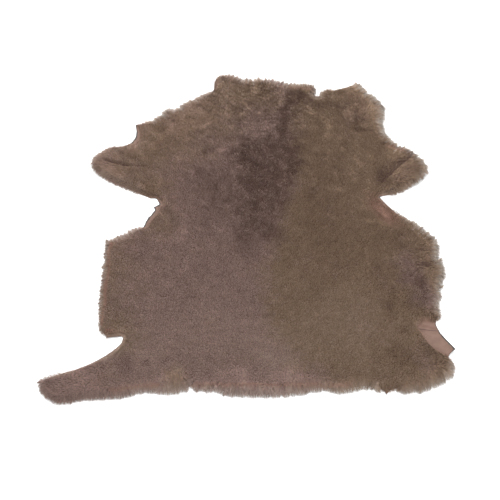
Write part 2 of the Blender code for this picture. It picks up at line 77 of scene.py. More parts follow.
# The pelt's outline, anticlockwise from the nape: where the wool's tips or the bare leather's edge lie.
# wool is the share of the full rim of wool there, from 0 at bare leather to 1.
Landmark = namedtuple("Landmark", "name across along turn wool")
OUTLINE = (
    Landmark("nape notch", 0.196, 0.431, "sharp", 0.5),
    Landmark("nape lip", 0.186, 0.462, "smooth", 0.8),
    Landmark("neck edge right", 0.129, 0.469, "smooth", 0.8),
    Landmark("neck edge middle", 0.053, 0.489, "smooth", 0.8),
    Landmark("neck edge dip", -0.007, 0.487, "smooth", 0.8),
    Landmark("neck crown", -0.072, 0.503, "smooth", 0.6),
    Landmark("neck corner", -0.104, 0.482, "smooth", 0.2),
    Landmark("neck side", -0.110, 0.442, "smooth", 0.2),
    Landmark("neck slope head", -0.122, 0.433, "smooth", 0.75),
    Landmark("neck slope", -0.189, 0.397, "smooth", 0.7),
    Landmark("neck slope dip", -0.208, 0.379, "smooth", 0.8),
    Landmark("shoulder slope", -0.235, 0.378, "smooth", 0.9),
    Landmark("shoulder dip", -0.274, 0.341, "smooth", 0.8),
    Landmark("shoulder corner", -0.325, 0.318, "sharp", 0.05),
    Landmark("bare shoulder edge", -0.318, 0.286, "smooth", 0.0),
    Landmark("bare shoulder foot", -0.325, 0.264, "smooth", 0.0),
    Landmark("left foreleg root", -0.352, 0.248, "smooth", 0.1),
    Landmark("left foreleg top", -0.386, 0.243, "smooth", 0.35),
    Landmark("left foreleg brow", -0.423, 0.213, "smooth", 0.4),
    Landmark("left foreleg tip", -0.436, 0.185, "smooth", 0.4),
    Landmark("left foreleg chin", -0.429, 0.159, "smooth", 0.4),
    Landmark("left foreleg underside", -0.398, 0.130, "smooth", 0.5),
    Landmark("left elbow", -0.318, 0.089, "smooth", 0.4),
    Landmark("left elbow corner", -0.267, 0.068, "sharp", 0.1),
    Landmark("left armpit lip", -0.252, 0.068, "sharp", 0.1),
    Landmark("left armpit notch", -0.241, 0.052, "sharp", 0.0),
    Landmark("left armpit step", -0.257, 0.042, "sharp", 0.0),
    Landmark("left armpit bite", -0.252, 0.036, "smooth", 0.0),
    Landmark("left armpit edge", -0.258, 0.024, "sharp", 0.0),
    Landmark("left armpit nib", -0.263, 0.015, "sharp", 0.0),
    Landmark("left armpit hollow", -0.268, 0.012, "sharp", 0.0),
    Landmark("left armpit nib low", -0.270, 0.005, "sharp", 0.0),
    Landmark("left armpit bite low", -0.275, -0.004, "sharp", 0.0),
    Landmark("left armpit tag", -0.275, -0.007, "smooth", 0.0),
    Landmark("left armpit foot", -0.278, -0.016, "sharp", 0.0),
    Landmark("left flank lip", -0.288, -0.018, "smooth", 0.5),
    Landmark("left flank slope", -0.316, -0.033, "smooth", 0.7),
    Landmark("left flank corner", -0.377, -0.062, "sharp", 0.6),
    Landmark("left flank", -0.378, -0.148, "smooth", 0.5),
    Landmark("left belly", -0.378, -0.215, "smooth", 0.5),
    Landmark("left belly foot", -0.373, -0.311, "smooth", 0.4),
    Landmark("left stifle corner", -0.350, -0.343, "sharp", 0.2),
    Landmark("left stifle notch", -0.312, -0.336, "sharp", 0.1),
    Landmark("left hind leg root", -0.317, -0.352, "smooth", 0.1),
    Landmark("left hind leg bend", -0.353, -0.383, "smooth", 0.1),
    Landmark("left hind leg edge", -0.405, -0.411, "smooth", 0.1),
    Landmark("left hind leg shin", -0.471, -0.432, "smooth", 0.3),
    Landmark("left hock", -0.503, -0.457, "smooth", 0.45),
    Landmark("left hock cut", -0.461, -0.506, "smooth", 0.45),
    Landmark("left hind leg sole", -0.385, -0.500, "smooth", 0.6),
    Landmark("left thigh", -0.302, -0.495, "smooth", 0.8),
    Landmark("left buttock dip", -0.248, -0.482, "smooth", 0.9),
    Landmark("left buttock", -0.198, -0.487, "smooth", 1.0),
    Landmark("rump nick left's side", -0.150, -0.479, "smooth", 0.9),
    Landmark("rump nick left", -0.139, -0.472, "sharp", 0.8),
    Landmark("rump nick right's side", -0.124, -0.479, "smooth", 0.9),
    Landmark("rump left", -0.077, -0.481, "smooth", 1.0),
    Landmark("rump step", -0.068, -0.484, "smooth", 0.9),
    Landmark("rump lobe left", -0.062, -0.489, "smooth", 1.0),
    Landmark("rump middle", 0.020, -0.494, "smooth", 1.0),
    Landmark("rump lobe right", 0.104, -0.490, "smooth", 1.0),
    Landmark("rump nick right", 0.148, -0.481, "smooth", 1.0),
    Landmark("right buttock nick", 0.178, -0.477, "smooth", 0.9),
    Landmark("rump right", 0.207, -0.484, "smooth", 1.0),
    Landmark("right buttock dip", 0.262, -0.475, "smooth", 1.0),
    Landmark("right thigh nick", 0.278, -0.473, "smooth", 0.9),
    Landmark("right buttock", 0.304, -0.480, "smooth", 0.9),
    Landmark("cut flap left", 0.312, -0.477, "sharp", 0.5),
    Landmark("cut flap tip", 0.321, -0.485, "sharp", 0.0),
    Landmark("cut flap right", 0.343, -0.475, "sharp", 0.5),
    Landmark("right thigh", 0.367, -0.484, "smooth", 1.0),
    Landmark("right thigh cleft", 0.390, -0.480, "smooth", 0.9),
    Landmark("right thigh lobe", 0.406, -0.482, "smooth", 1.0),
    Landmark("right hind lobe", 0.483, -0.443, "smooth", 1.0),
    Landmark("right hind cheek", 0.494, -0.414, "smooth", 0.9),
    Landmark("right hind nick", 0.484, -0.387, "sharp", 0.2),
    Landmark("bare leather tip", 0.498, -0.370, "sharp", 0.0),
    Landmark("bare leather edge", 0.469, -0.330, "smooth", 0.0),
    Landmark("bare leather head", 0.462, -0.299, "sharp", 0.1),
    Landmark("right belly foot", 0.477, -0.283, "smooth", 1.0),
    Landmark("right belly swell", 0.478, -0.275, "smooth", 1.0),
    Landmark("right belly cleft", 0.472, -0.257, "sharp", 0.9),
    Landmark("right belly tuft", 0.484, -0.226, "smooth", 1.0),
    Landmark("right belly dip", 0.482, -0.208, "sharp", 0.9),
    Landmark("right belly tuft high", 0.491, -0.199, "smooth", 1.0),
    Landmark("right belly cleft high", 0.488, -0.192, "sharp", 0.9),
    Landmark("right belly", 0.500, -0.171, "smooth", 1.0),
    Landmark("right belly head", 0.497, -0.124, "smooth", 1.0),
    Landmark("right flank dip", 0.488, -0.114, "sharp", 0.9),
    Landmark("right flank", 0.493, -0.071, "smooth", 1.0),
    Landmark("right flank slope", 0.451, -0.019, "smooth", 0.9),
    Landmark("right armpit edge", 0.396, 0.026, "smooth", 0.3),
    Landmark("right armpit notch", 0.350, 0.075, "sharp", 0.0),
    Landmark("right elbow", 0.395, 0.081, "smooth", 0.5),
    Landmark("right foreleg underside", 0.468, 0.125, "smooth", 0.8),
    Landmark("right foreleg tip", 0.489, 0.162, "smooth", 0.9),
    Landmark("right foreleg top", 0.444, 0.234, "smooth", 0.8),
    Landmark("right foreleg root", 0.405, 0.255, "smooth", 0.8),
    Landmark("right shoulder dip", 0.382, 0.304, "smooth", 1.0),
    Landmark("right neck lobe", 0.388, 0.371, "smooth", 1.0),
    Landmark("right neck shoulder", 0.377, 0.402, "smooth", 1.0),
    Landmark("right neck slope", 0.343, 0.438, "smooth", 0.9),
    Landmark("right neck crown", 0.314, 0.471, "smooth", 0.9),
    Landmark("nape edge right", 0.281, 0.457, "smooth", 0.15),
    Landmark("nape edge middle", 0.244, 0.446, "smooth", 0.25),
    Landmark("nape edge left", 0.218, 0.446, "smooth", 0.3),
)

# The patches where the leather shows: an oval about a middle, with its long side turned from +X. The wool
# loses the worn share of its height within bare times the oval, and has it all beyond full times the oval.
Patch = namedtuple("Patch", "name across along half_long half_short turn_deg bare full worn")
BARE_PATCHES = (
    Patch("right flank", 0.457, -0.338, 0.056, 0.028, -55, 0.84, 1.18, 1.00),
    Patch("right flank head", 0.433, -0.312, 0.023, 0.015, 0, 0.80, 1.15, 1.00),
    Patch("right armpit", 0.355, 0.025, 0.062, 0.030, -53, 0.00, 1.50, 0.68),
    Patch("left shoulder", -0.316, 0.264, 0.040, 0.009, 84, 0.10, 1.60, 0.84),
    Patch("left armpit", -0.255, 0.016, 0.046, 0.009, 64, 0.10, 1.60, 0.84),
)

# What happens along a line, fading out over the spread on each side of it.
Line = namedtuple("Line", "name x0 y0 x1 y1 spread size")

# Where the leather lifts off the surface.
LIFTS = (
    Line("left foreleg tip", -0.440, 0.202, -0.434, 0.160, 0.075, 0.008),
    Line("right foreleg tip", 0.492, 0.175, 0.482, 0.135, 0.080, 0.007),
    Line("neck corner", -0.105, 0.490, -0.112, 0.450, 0.070, 0.005),
    Line("shoulder corner", -0.325, 0.315, -0.320, 0.290, 0.045, 0.005),
    Line("left stifle corner", -0.365, -0.325, -0.345, -0.335, 0.050, 0.004),
    Line("left hock", -0.500, -0.460, -0.480, -0.485, 0.070, 0.005),
    Line("bare leather tip", 0.505, -0.372, 0.480, -0.348, 0.055, 0.008),
    Line("nape edge", 0.274, 0.450, 0.216, 0.452, 0.045, 0.004),
)

# The pleat in the bare leather: its ridge, and its foot, painted dark for the pleat's shadow.
RIDGE = Line("bare leather pleat", 0.413, -0.309, 0.460, -0.319, 0.010, 0.004)
PLEAT = (Line("pleat_shadow", 0.418, -0.3145, 0.463, -0.3215, 0.0040, 1.0),)
PLEAT_HALF = 0.0013     # half the width of its foot


def eased(share):
    """Shares from 0 to 1 with the two ends eased."""
    share = np.clip(share, 0.0, 1.0)
    return share * share * (3.0 - 2.0 * share)


def ways_from(line, points):
    """The way from a line's nearest place to each point, and the line's own run."""
    start = np.array((line.x0, line.y0))
    run = np.array((line.x1, line.y1)) - start
    share = np.clip((points - start) @ run / (run @ run), 0.0, 1.0)
    return points - start - share[:, None] * run, run


def along_lines(points, lines):
    """The sum of what the lines add at each point: a line's size on it, fading over its spread."""
    total = np.zeros(len(points))
    for line in lines:
        away = np.linalg.norm(ways_from(line, points)[0], axis=1)
        total += line.size * eased(1.0 - away / line.spread)
    return total


def patch_cover(points):
    """The share of the wool's height that the bare patches leave at each point."""
    cover = np.ones(len(points))
    for patch in BARE_PATCHES:
        turn = math.radians(patch.turn_deg)
        away = points - (patch.across, patch.along)
        long = away @ (math.cos(turn), math.sin(turn)) / patch.half_long
        short = away @ (-math.sin(turn), math.cos(turn)) / patch.half_short
        grown = eased((np.hypot(long, short) - patch.bare) / (patch.full - patch.bare))
        cover *= 1.0 - patch.worn * (1.0 - grown)
    return cover


def fine_outline():
    """A curve through the landmarks, as closely spaced points and the share of wool at each."""
    knots = [Vector((row.across, row.along, 0.0)) for row in OUTLINE]
    arriving, leaving = [], []
    for i, row in enumerate(OUTLINE):
        before, here, after = knots[i - 1], knots[i], knots[(i + 1) % len(knots)]
        back, ahead = before - here, after - here
        if row.turn == "smooth":
            chord = (after - before).normalized()
            back, ahead = -chord * back.length, chord * ahead.length
        arriving.append(here + back * HANDLE_SHARE)
        leaving.append(here + ahead * HANDLE_SHARE)
    points, wool = [], []
    for i, row in enumerate(OUTLINE):
        j = (i + 1) % len(knots)
        piece = geometry.interpolate_bezier(knots[i], leaving[i], arriving[j], knots[j], LINE_STEPS + 1)
        for step, point in enumerate(piece[:-1]):
            share = step / LINE_STEPS
            points.append(point.to_2d())
            wool.append(row.wool * (1.0 - share) + OUTLINE[j].wool * share)
    return np.array(points), np.array(wool)


edge_points, edge_wool = fine_outline()
edge_steps = np.linalg.norm(np.roll(edge_points, -1, 0) - edge_points, axis=1)
edge_lengths = np.concatenate(((0.0,), np.cumsum(edge_steps)))
ahead, behind = np.roll(edge_points, -3, 0), np.roll(edge_points, 3, 0)
edge_outward = np.stack((ahead[:, 1] - behind[:, 1], behind[:, 0] - ahead[:, 0]), 1)
edge_outward /= np.linalg.norm(edge_outward, axis=1)[:, None]


def tree_of(points):
    """A tree that finds the nearest of the points."""
    tree = kdtree.KDTree(len(points))
    for number, (x, y) in enumerate(points):
        tree.insert((x, y, 0.0), number)
    tree.balance()
    return tree


edge_tree = tree_of(edge_points)


def inside_outline(points):
    """Whether each point is inside the outline, by counting the sides that a ray crosses."""
    crossed = np.zeros(len(points), bool)
    for (ax, ay), (bx, by) in zip(edge_points, np.roll(edge_points, -1, 0)):
        if ay != by:
            beside = points[:, 0] < ax + (points[:, 1] - ay) / (by - ay) * (bx - ax)
            crossed ^= ((ay > points[:, 1]) != (by > points[:, 1])) & beside
    return crossed


def edge_near(points):
    """For each point: its depth inside the outline, and the number of the nearest outline point."""
    found = [edge_tree.find((x, y, 0.0)) for x, y in points]
    nearest = np.array([index for _, index, _ in found])
    depth = np.array([distance for _, _, distance in found])
    return np.where(inside_outline(points), depth, -depth), nearest


def stations_along(step):
    """The numbers of the outline's points at even steps along it."""
    return np.searchsorted(edge_lengths, np.arange(0.0, edge_lengths[-1], step), "right") - 1


def inset_at(number, at_full_wool, at_bare=0.0):
    """How far behind the outline a line lies: from one depth where it is bare to another at full wool."""
    return at_bare + (at_full_wool - at_bare) * edge_wool[number] ** 0.6


def inset_loop(at_full_wool, at_bare, step):
    """The outline drawn inwards, as evenly spaced points, without those that its bends bring too near it."""
    number = stations_along(step)
    depth = inset_at(number, at_full_wool, at_bare)
    loop = edge_points[number] - edge_outward[number] * depth[:, None]
    loop = loop[edge_near(loop)[0] > 0.9 * depth - 0.0002]
    return loop[np.linalg.norm(loop - np.roll(loop, 1, 0), axis=1) > 0.3 * step]


def lattice(spacing):
    """Points in staggered rows over the outline's box and a little more."""
    low, high = edge_points.min(0) - BOX_MARGIN, edge_points.max(0) + BOX_MARGIN
    row_step = spacing * math.sqrt(3.0) / 2.0
    rows, columns = int((high[1] - low[1]) / row_step) + 1, int((high[0] - low[0]) / spacing) + 1
    row, column = np.divmod(np.arange(rows * columns), columns)
    return np.stack((low[0] + (column + 0.5 * (row % 2)) * spacing, low[1] + row * row_step), 1)


def filled(loop, inner):
    """The points of a loop and the points within it, with the triangles that join them all."""
    points = np.concatenate((loop, inner))
    sides = [(i, (i + 1) % len(loop)) for i in range(len(loop))]
    made = geometry.delaunay_2d_cdt([Vector(p) for p in points], sides, [], INSIDE_THE_LOOP, MERGE_DISTANCE)
    return np.array([p[:] for p in made[0]]), made[2]


def lift(points):
    """How far the leather stands off the surface."""
    return along_lines(points, (*LIFTS, RIDGE))


def mesh_of(name, bm):
    """The finished mesh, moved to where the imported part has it."""
    bmesh.ops.translate(bm, verts=bm.verts, vec=(-MIDDLE[0], -MIDDLE[1], 0.0))
    mesh = bpy.data.meshes.new(name)
    bm.to_mesh(mesh)
    bm.free()
    mesh.shade_smooth()
    return mesh


def shown(name, mesh, *materials):
    """A piece of the object with its materials, riding on the pelt."""
    for material in materials:
        mesh.materials.append(material)
    piece = bpy.data.objects.new(name, mesh)
    scene.collection.objects.link(piece)
    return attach(piece, "root")


def places_on(mesh):
    """The places of a mesh's points, as the tables measure."""
    return np.array([v.co.to_2d() for v in mesh.vertices]) + MIDDLE


def give(mesh, name, values):
    """Keeps a number for each of the mesh's points, for its material."""
    mesh.attributes.new(name, "FLOAT", "POINT").data.foreach_set("value", values.astype(np.float32))




def pleat_points():
    """Points in three rows along the pleat, so that the painted shadow at its foot comes out thin."""
    row = PLEAT[0]
    start, run = np.array((row.x0, row.y0)), np.array((row.x1 - row.x0, row.y1 - row.y0))
    aside = np.array((-run[1], run[0])) / np.linalg.norm(run)
    return np.array([
        start + share * run + way * aside
        for share in np.linspace(0.0, 1.0, 16) for way in (-PLEAT_HALF, 0.0, PLEAT_HALF)
    ])


def sheet_between(loop, inner, under, over):
    """A closed sheet, filled from its loop inwards, between the heights of its two sides."""
    points, faces = filled(loop, inner)
    bm = bmesh.new()
    verts = [bm.verts.new((x, y, z)) for (x, y), z in zip(points, under(points))]
    for face in faces:
        bm.faces.new([verts[i] for i in face])
    doubled = bmesh.ops.extrude_face_region(bm, geom=list(bm.faces))["geom"]
    upper = [v for v in doubled if isinstance(v, bmesh.types.BMVert)]
    for vert, height in zip(upper, over(np.array([v.co.to_2d() for v in upper]))):
        vert.co.z = height
    bmesh.ops.recalc_face_normals(bm, faces=bm.faces)
    return bm


def hide_mesh():
    """The leather: filled from its cut edge inwards, raised where it lifts, and given its thickness."""
    loop = inset_loop(OVERHANG, 0.0, CUT_STEP)
    coarse, fine = lattice(HIDE_LATTICE), lattice(BARE_LATTICE)
    depth, nearest = edge_near(fine)
    showing = (patch_cover(fine) < 0.95) | ((depth < BARE_STRIP) & (edge_wool[nearest] < 0.25))
    bare = set(map(tuple, np.round(fine[showing] / HIDE_LATTICE).astype(int)))
    plain = [tuple(cell) not in bare for cell in np.round(coarse / HIDE_LATTICE).astype(int)]
    inner = np.concatenate((coarse[plain], fine[showing]))
    inner = np.concatenate((inner[along_lines(inner, PLEAT) == 0.0], pleat_points()))
    depth, nearest = edge_near(inner)
    inner = inner[depth > inset_at(nearest, OVERHANG) + CLEAR_OF_CUT]
    return mesh_of("hide", sheet_between(loop, inner, lift, lambda points: lift(points) + LEATHER))


def node(tree, kind, sockets=None, **settings):
    """A node of that kind, with its settings and the values of its sockets."""
    made = tree.nodes.new(kind)
    for name, value in settings.items():
        setattr(made, name, value)
    for name, value in (sockets or {}).items():
        made.inputs[name].default_value = value
    return made


def wire(tree, *pairs):
    """Links each pair of sockets."""
    for start, end in pairs:
        tree.links.new(start, end)


def read(tree, name):
    """The socket that reads a number kept with the mesh."""
    return node(tree, "ShaderNodeAttribute", attribute_name=name).outputs["Fac"]


def clouds(tree, place, scale, detail=2.0, roughness=0.5):
    """The socket of a soft noise, from about 0.3 to 0.7."""
    made = node(tree, "ShaderNodeTexNoise", {"Scale": scale, "Detail": detail, "Roughness": roughness})
    wire(tree, (place, made.inputs["Vector"]))
    return made.outputs["Fac"]


def spread(tree, value, low, high, start=0.0, end=1.0):
    """The socket of a value stretched from low and high to start and end."""
    stretch = {"From Min": low, "From Max": high, "To Min": start, "To Max": end}
    made = node(tree, "ShaderNodeMapRange", stretch)
    wire(tree, (value, made.inputs["Value"]))
    return made.outputs["Result"]


def sum_of(tree, first, *others):
    """The socket of a sum of values."""
    for other in others:
        made = node(tree, "ShaderNodeMath", operation="ADD")
        wire(tree, (first, made.inputs[0]), (other, made.inputs[1]))
        first = made.outputs[0]
    return first


def times(tree, first, second):
    """The socket of a product of two values, or of a value and a number."""
    made = node(tree, "ShaderNodeMath", operation="MULTIPLY")
    wire(tree, (first, made.inputs[0]))
    if isinstance(second, float):
        made.inputs[1].default_value = second
    else:
        wire(tree, (second, made.inputs[1]))
    return made.outputs[0]


def mixed(tree, share, first, second):
    """The socket of a mix of two colours, each a colour or a socket."""
    made = node(tree, "ShaderNodeMix", data_type="RGBA")
    wire(tree, (share, made.inputs[0]))
    for socket, colour in ((made.inputs[6], first), (made.inputs[7], second)):
        if isinstance(colour, tuple):
            socket.default_value = (*colour, 1.0)
        else:
            wire(tree, (colour, socket))
    return made.outputs[2]


def new_group(name, inputs, outputs):
    """An empty group of shader nodes, with its named sockets."""
    tree = bpy.data.node_groups.new(name, "ShaderNodeTree")
    for way, sockets in (("INPUT", inputs), ("OUTPUT", outputs)):
        for socket, kind in sockets:
            tree.interface.new_socket(name=socket, in_out=way, socket_type="NodeSocket" + kind)
    return tree, node(tree, "NodeGroupInput").outputs, node(tree, "NodeGroupOutput").inputs


def bumps(tree, shader, height, distance, strength):
    """Gives the shader the relief of a height socket."""
    made = node(tree, "ShaderNodeBump", {"Distance": distance, "Strength": strength})
    wire(tree, (height, made.inputs["Height"]), (made.outputs["Normal"], shader.inputs["Normal"]))


def new_material(name, roughness):
    """A material with its tree, its shader and the place on the object that its patterns follow."""
    material = bpy.data.materials.new(name)
    material.use_nodes = True
    tree = material.node_tree
    shader = tree.nodes["Principled BSDF"]
    shader.inputs["Roughness"].default_value = roughness
    return material, tree, shader, node(tree, "ShaderNodeTexCoord").outputs["Object"]


def skin_pattern():
    """The grain of a sheep's skin: pores between fine creases, over broad stains."""
    tree, given, out = new_group(
        "Skin grain", [("Place", "Vector")], [("Creases", "Float"), ("Pores", "Float"), ("Stains", "Float")]
    )
    creases = node(tree, "ShaderNodeTexVoronoi", {"Scale": 520.0}, feature="DISTANCE_TO_EDGE")
    pores = node(tree, "ShaderNodeTexVoronoi", {"Scale": 900.0}, feature="F1")
    wire(
        tree,
        (given["Place"], creases.inputs["Vector"]),
        (given["Place"], pores.inputs["Vector"]),
        (spread(tree, creases.outputs["Distance"], 0.0, 0.16), out["Creases"]),
        (spread(tree, pores.outputs["Distance"], 0.05, 0.30), out["Pores"]),
        (spread(tree, clouds(tree, given["Place"], 55.0, 4.0), 0.36, 0.64), out["Stains"]),
    )
    return tree


skin_grain = skin_pattern()

FLESH_PINK, PALE_PINK = (0.126, 0.069, 0.048), (0.166, 0.095, 0.069)
# The pleat's colour is a painted shadow at its foot.
CREASE_BROWN, PLEAT_SHADOW = (0.095, 0.052, 0.040), (0.050, 0.022, 0.017)
CHARCOAL = (0.030, 0.025, 0.024)
SUEDE_BROWN, SUEDE_SCUFF, SUEDE_NAP = (0.040, 0.034, 0.032), (0.070, 0.057, 0.051), (0.105, 0.088, 0.080)


def grain_leather():
    """The grain side: dyed flesh pink, browner in stains, with a painted shadow along the pleat's foot and
    charcoal in a band along the bare cut edge.
    """
    material, tree, shader, place = new_material("grain leather", 0.62)
    skin = node(tree, "ShaderNodeGroup", node_tree=skin_grain)
    wire(tree, (place, skin.inputs["Place"]))
    shallow = spread(tree, skin.outputs["Creases"], 0.0, 1.0, 0.20, 0.0)
    pink = mixed(tree, skin.outputs["Stains"], FLESH_PINK, PALE_PINK)
    creased = mixed(tree, shallow, pink, CREASE_BROWN)
    # A painted shadow along the pleat's foot.
    pleat_shadowed = mixed(tree, read(tree, "pleat_shadow"), creased, PLEAT_SHADOW)
    fringe = sum_of(tree, read(tree, "cut"), spread(tree, clouds(tree, place, 160.0), 0.3, 0.7, -0.25, 0.25))
    edged = mixed(tree, spread(tree, fringe, 0.25, 0.60), pleat_shadowed, CHARCOAL)
    wire(tree, (edged, shader.inputs["Base Color"]))
    relief = sum_of(tree, skin.outputs["Creases"], times(tree, skin.outputs["Pores"], 0.5))
    bumps(tree, shader, relief, 0.00025, 0.7)
    return material


def suede():
    """The flesh side and the cut edge: brushed suede, charcoal brown, with a short nap and paler scuffs."""
    material, tree, shader, place = new_material("suede", 0.95)
    nap = clouds(tree, place, 900.0, 4.0, 0.7)
    scuffs = spread(tree, clouds(tree, place, 14.0, 5.0, 0.6), 0.35, 0.68)
    brushed = mixed(tree, scuffs, SUEDE_BROWN, SUEDE_SCUFF)
    napped = mixed(tree, spread(tree, nap, 0.35, 0.75, 0.0, 0.5), brushed, SUEDE_NAP)
    wire(tree, (napped, shader.inputs["Base Color"]))
    shader.inputs["Sheen Weight"].default_value = 0.25
    bumps(tree, shader, nap, 0.0004, 0.6)
    return material


hide_surface = hide_mesh()
hide_places = places_on(hide_surface)
hide_depth, hide_nearest = edge_near(hide_places)
give(hide_surface, "cut", eased(1.0 - hide_depth / CHARCOAL_BAND) * (edge_wool[hide_nearest] < 0.3))
# Where the pleat's painted shadow goes.
give(hide_surface, "pleat_shadow", (along_lines(hide_places, PLEAT) > 0.9).astype(float))
hide = shown("hide", hide_surface, grain_leather(), suede())
for face in hide_surface.polygons:
    face.material_index = 0 if face.normal.z > 0.5 else 1


# The ground of the fleece: the lower, imported part of the dyed wool that grows all over the skin. It is
# painted dark for the shade between the locks, follows the pelt's lumps and creases, and dives into the
# leather where the wool is gone.

PILE = 0.0175           # height of the shorn wool above the leather
RIM_TIP = 0.0016        # height of the outermost tips above the leather
RIM_ROUND = 0.024       # how far in from the rim the wool reaches its full height
BARE_MARGIN = 0.016     # how far in from a bare edge the wool is back
GROUND_SHARE = 0.50     # the ground's height, as a share of the wool's
GROUND_INSET = 0.0160   # how far the ground stays behind the tips at the rim
GROUND_BARE_INSET = 0.0022  # and behind a bare edge
GROUND_STEP = 0.0042    # between the points of its rim
GROUND_LATTICE = 0.0070  # between the points within
CLEAR_OF_GROUND = 0.0052  # kept free of points behind its rim
GROUND_UNDER = 0.0004   # how far its underside lies within the leather
GROUND_SUNK = 0.0010    # how far it lies under the leather's face where the wool is gone
GROUND_RISE = 0.0013    # how far it comes up from there where some wool is left
LUMPS = ((0.085, 0.0022), (0.034, 0.0016))  # each (size across, height)
RAGGED = ((0.045, 0.020), (0.014, 0.008))   # the raggedness of where a colour ends: each (size across, reach)
NARROW = 0.025          # the spread up to which a line's colour is less ragged
MOTTLES = (0.006, 0.011, 0.021)             # sizes across of the wool's mottling

# Where the wool sinks, or, with a size below zero, swells.
WOOL_FOLDS = (
    Line("right foreleg lobe", 0.445, 0.160, 0.392, 0.112, 0.030, -0.0030),
    Line("right foreleg root", 0.384, 0.240, 0.352, 0.230, 0.020, 0.0040),
    Line("neck lobe crease", 0.358, 0.298, 0.300, 0.288, 0.018, 0.0055),
    Line("neck lobe", 0.350, 0.338, 0.330, 0.420, 0.045, -0.0022),
    Line("nape parting", 0.191, 0.420, 0.168, 0.360, 0.024, 0.0045),
    Line("withers hollow", 0.110, 0.260, 0.040, 0.080, 0.070, 0.0030),
    Line("left neck hollow", -0.036, 0.372, -0.020, 0.330, 0.024, 0.0035),
    Line("rump parting left", -0.207, -0.425, -0.214, -0.470, 0.020, 0.0045),
    Line("rump parting middle", -0.062, -0.438, -0.064, -0.482, 0.020, 0.0045),
    Line("rump parting right", 0.062, -0.440, 0.078, -0.482, 0.022, 0.0045),
    Line("rump tuft left", -0.180, -0.435, -0.170, -0.460, 0.026, -0.0028),
    Line("rump tuft middle", -0.020, -0.440, -0.018, -0.465, 0.030, -0.0022),
    Line("rump tuft right", 0.108, -0.440, 0.112, -0.465, 0.026, -0.0028),
    Line("right flank parting", 0.412, -0.122, 0.470, -0.118, 0.020, 0.0045),
    Line("right flank hollow", 0.405, -0.180, 0.450, -0.200, 0.024, 0.0035),
)
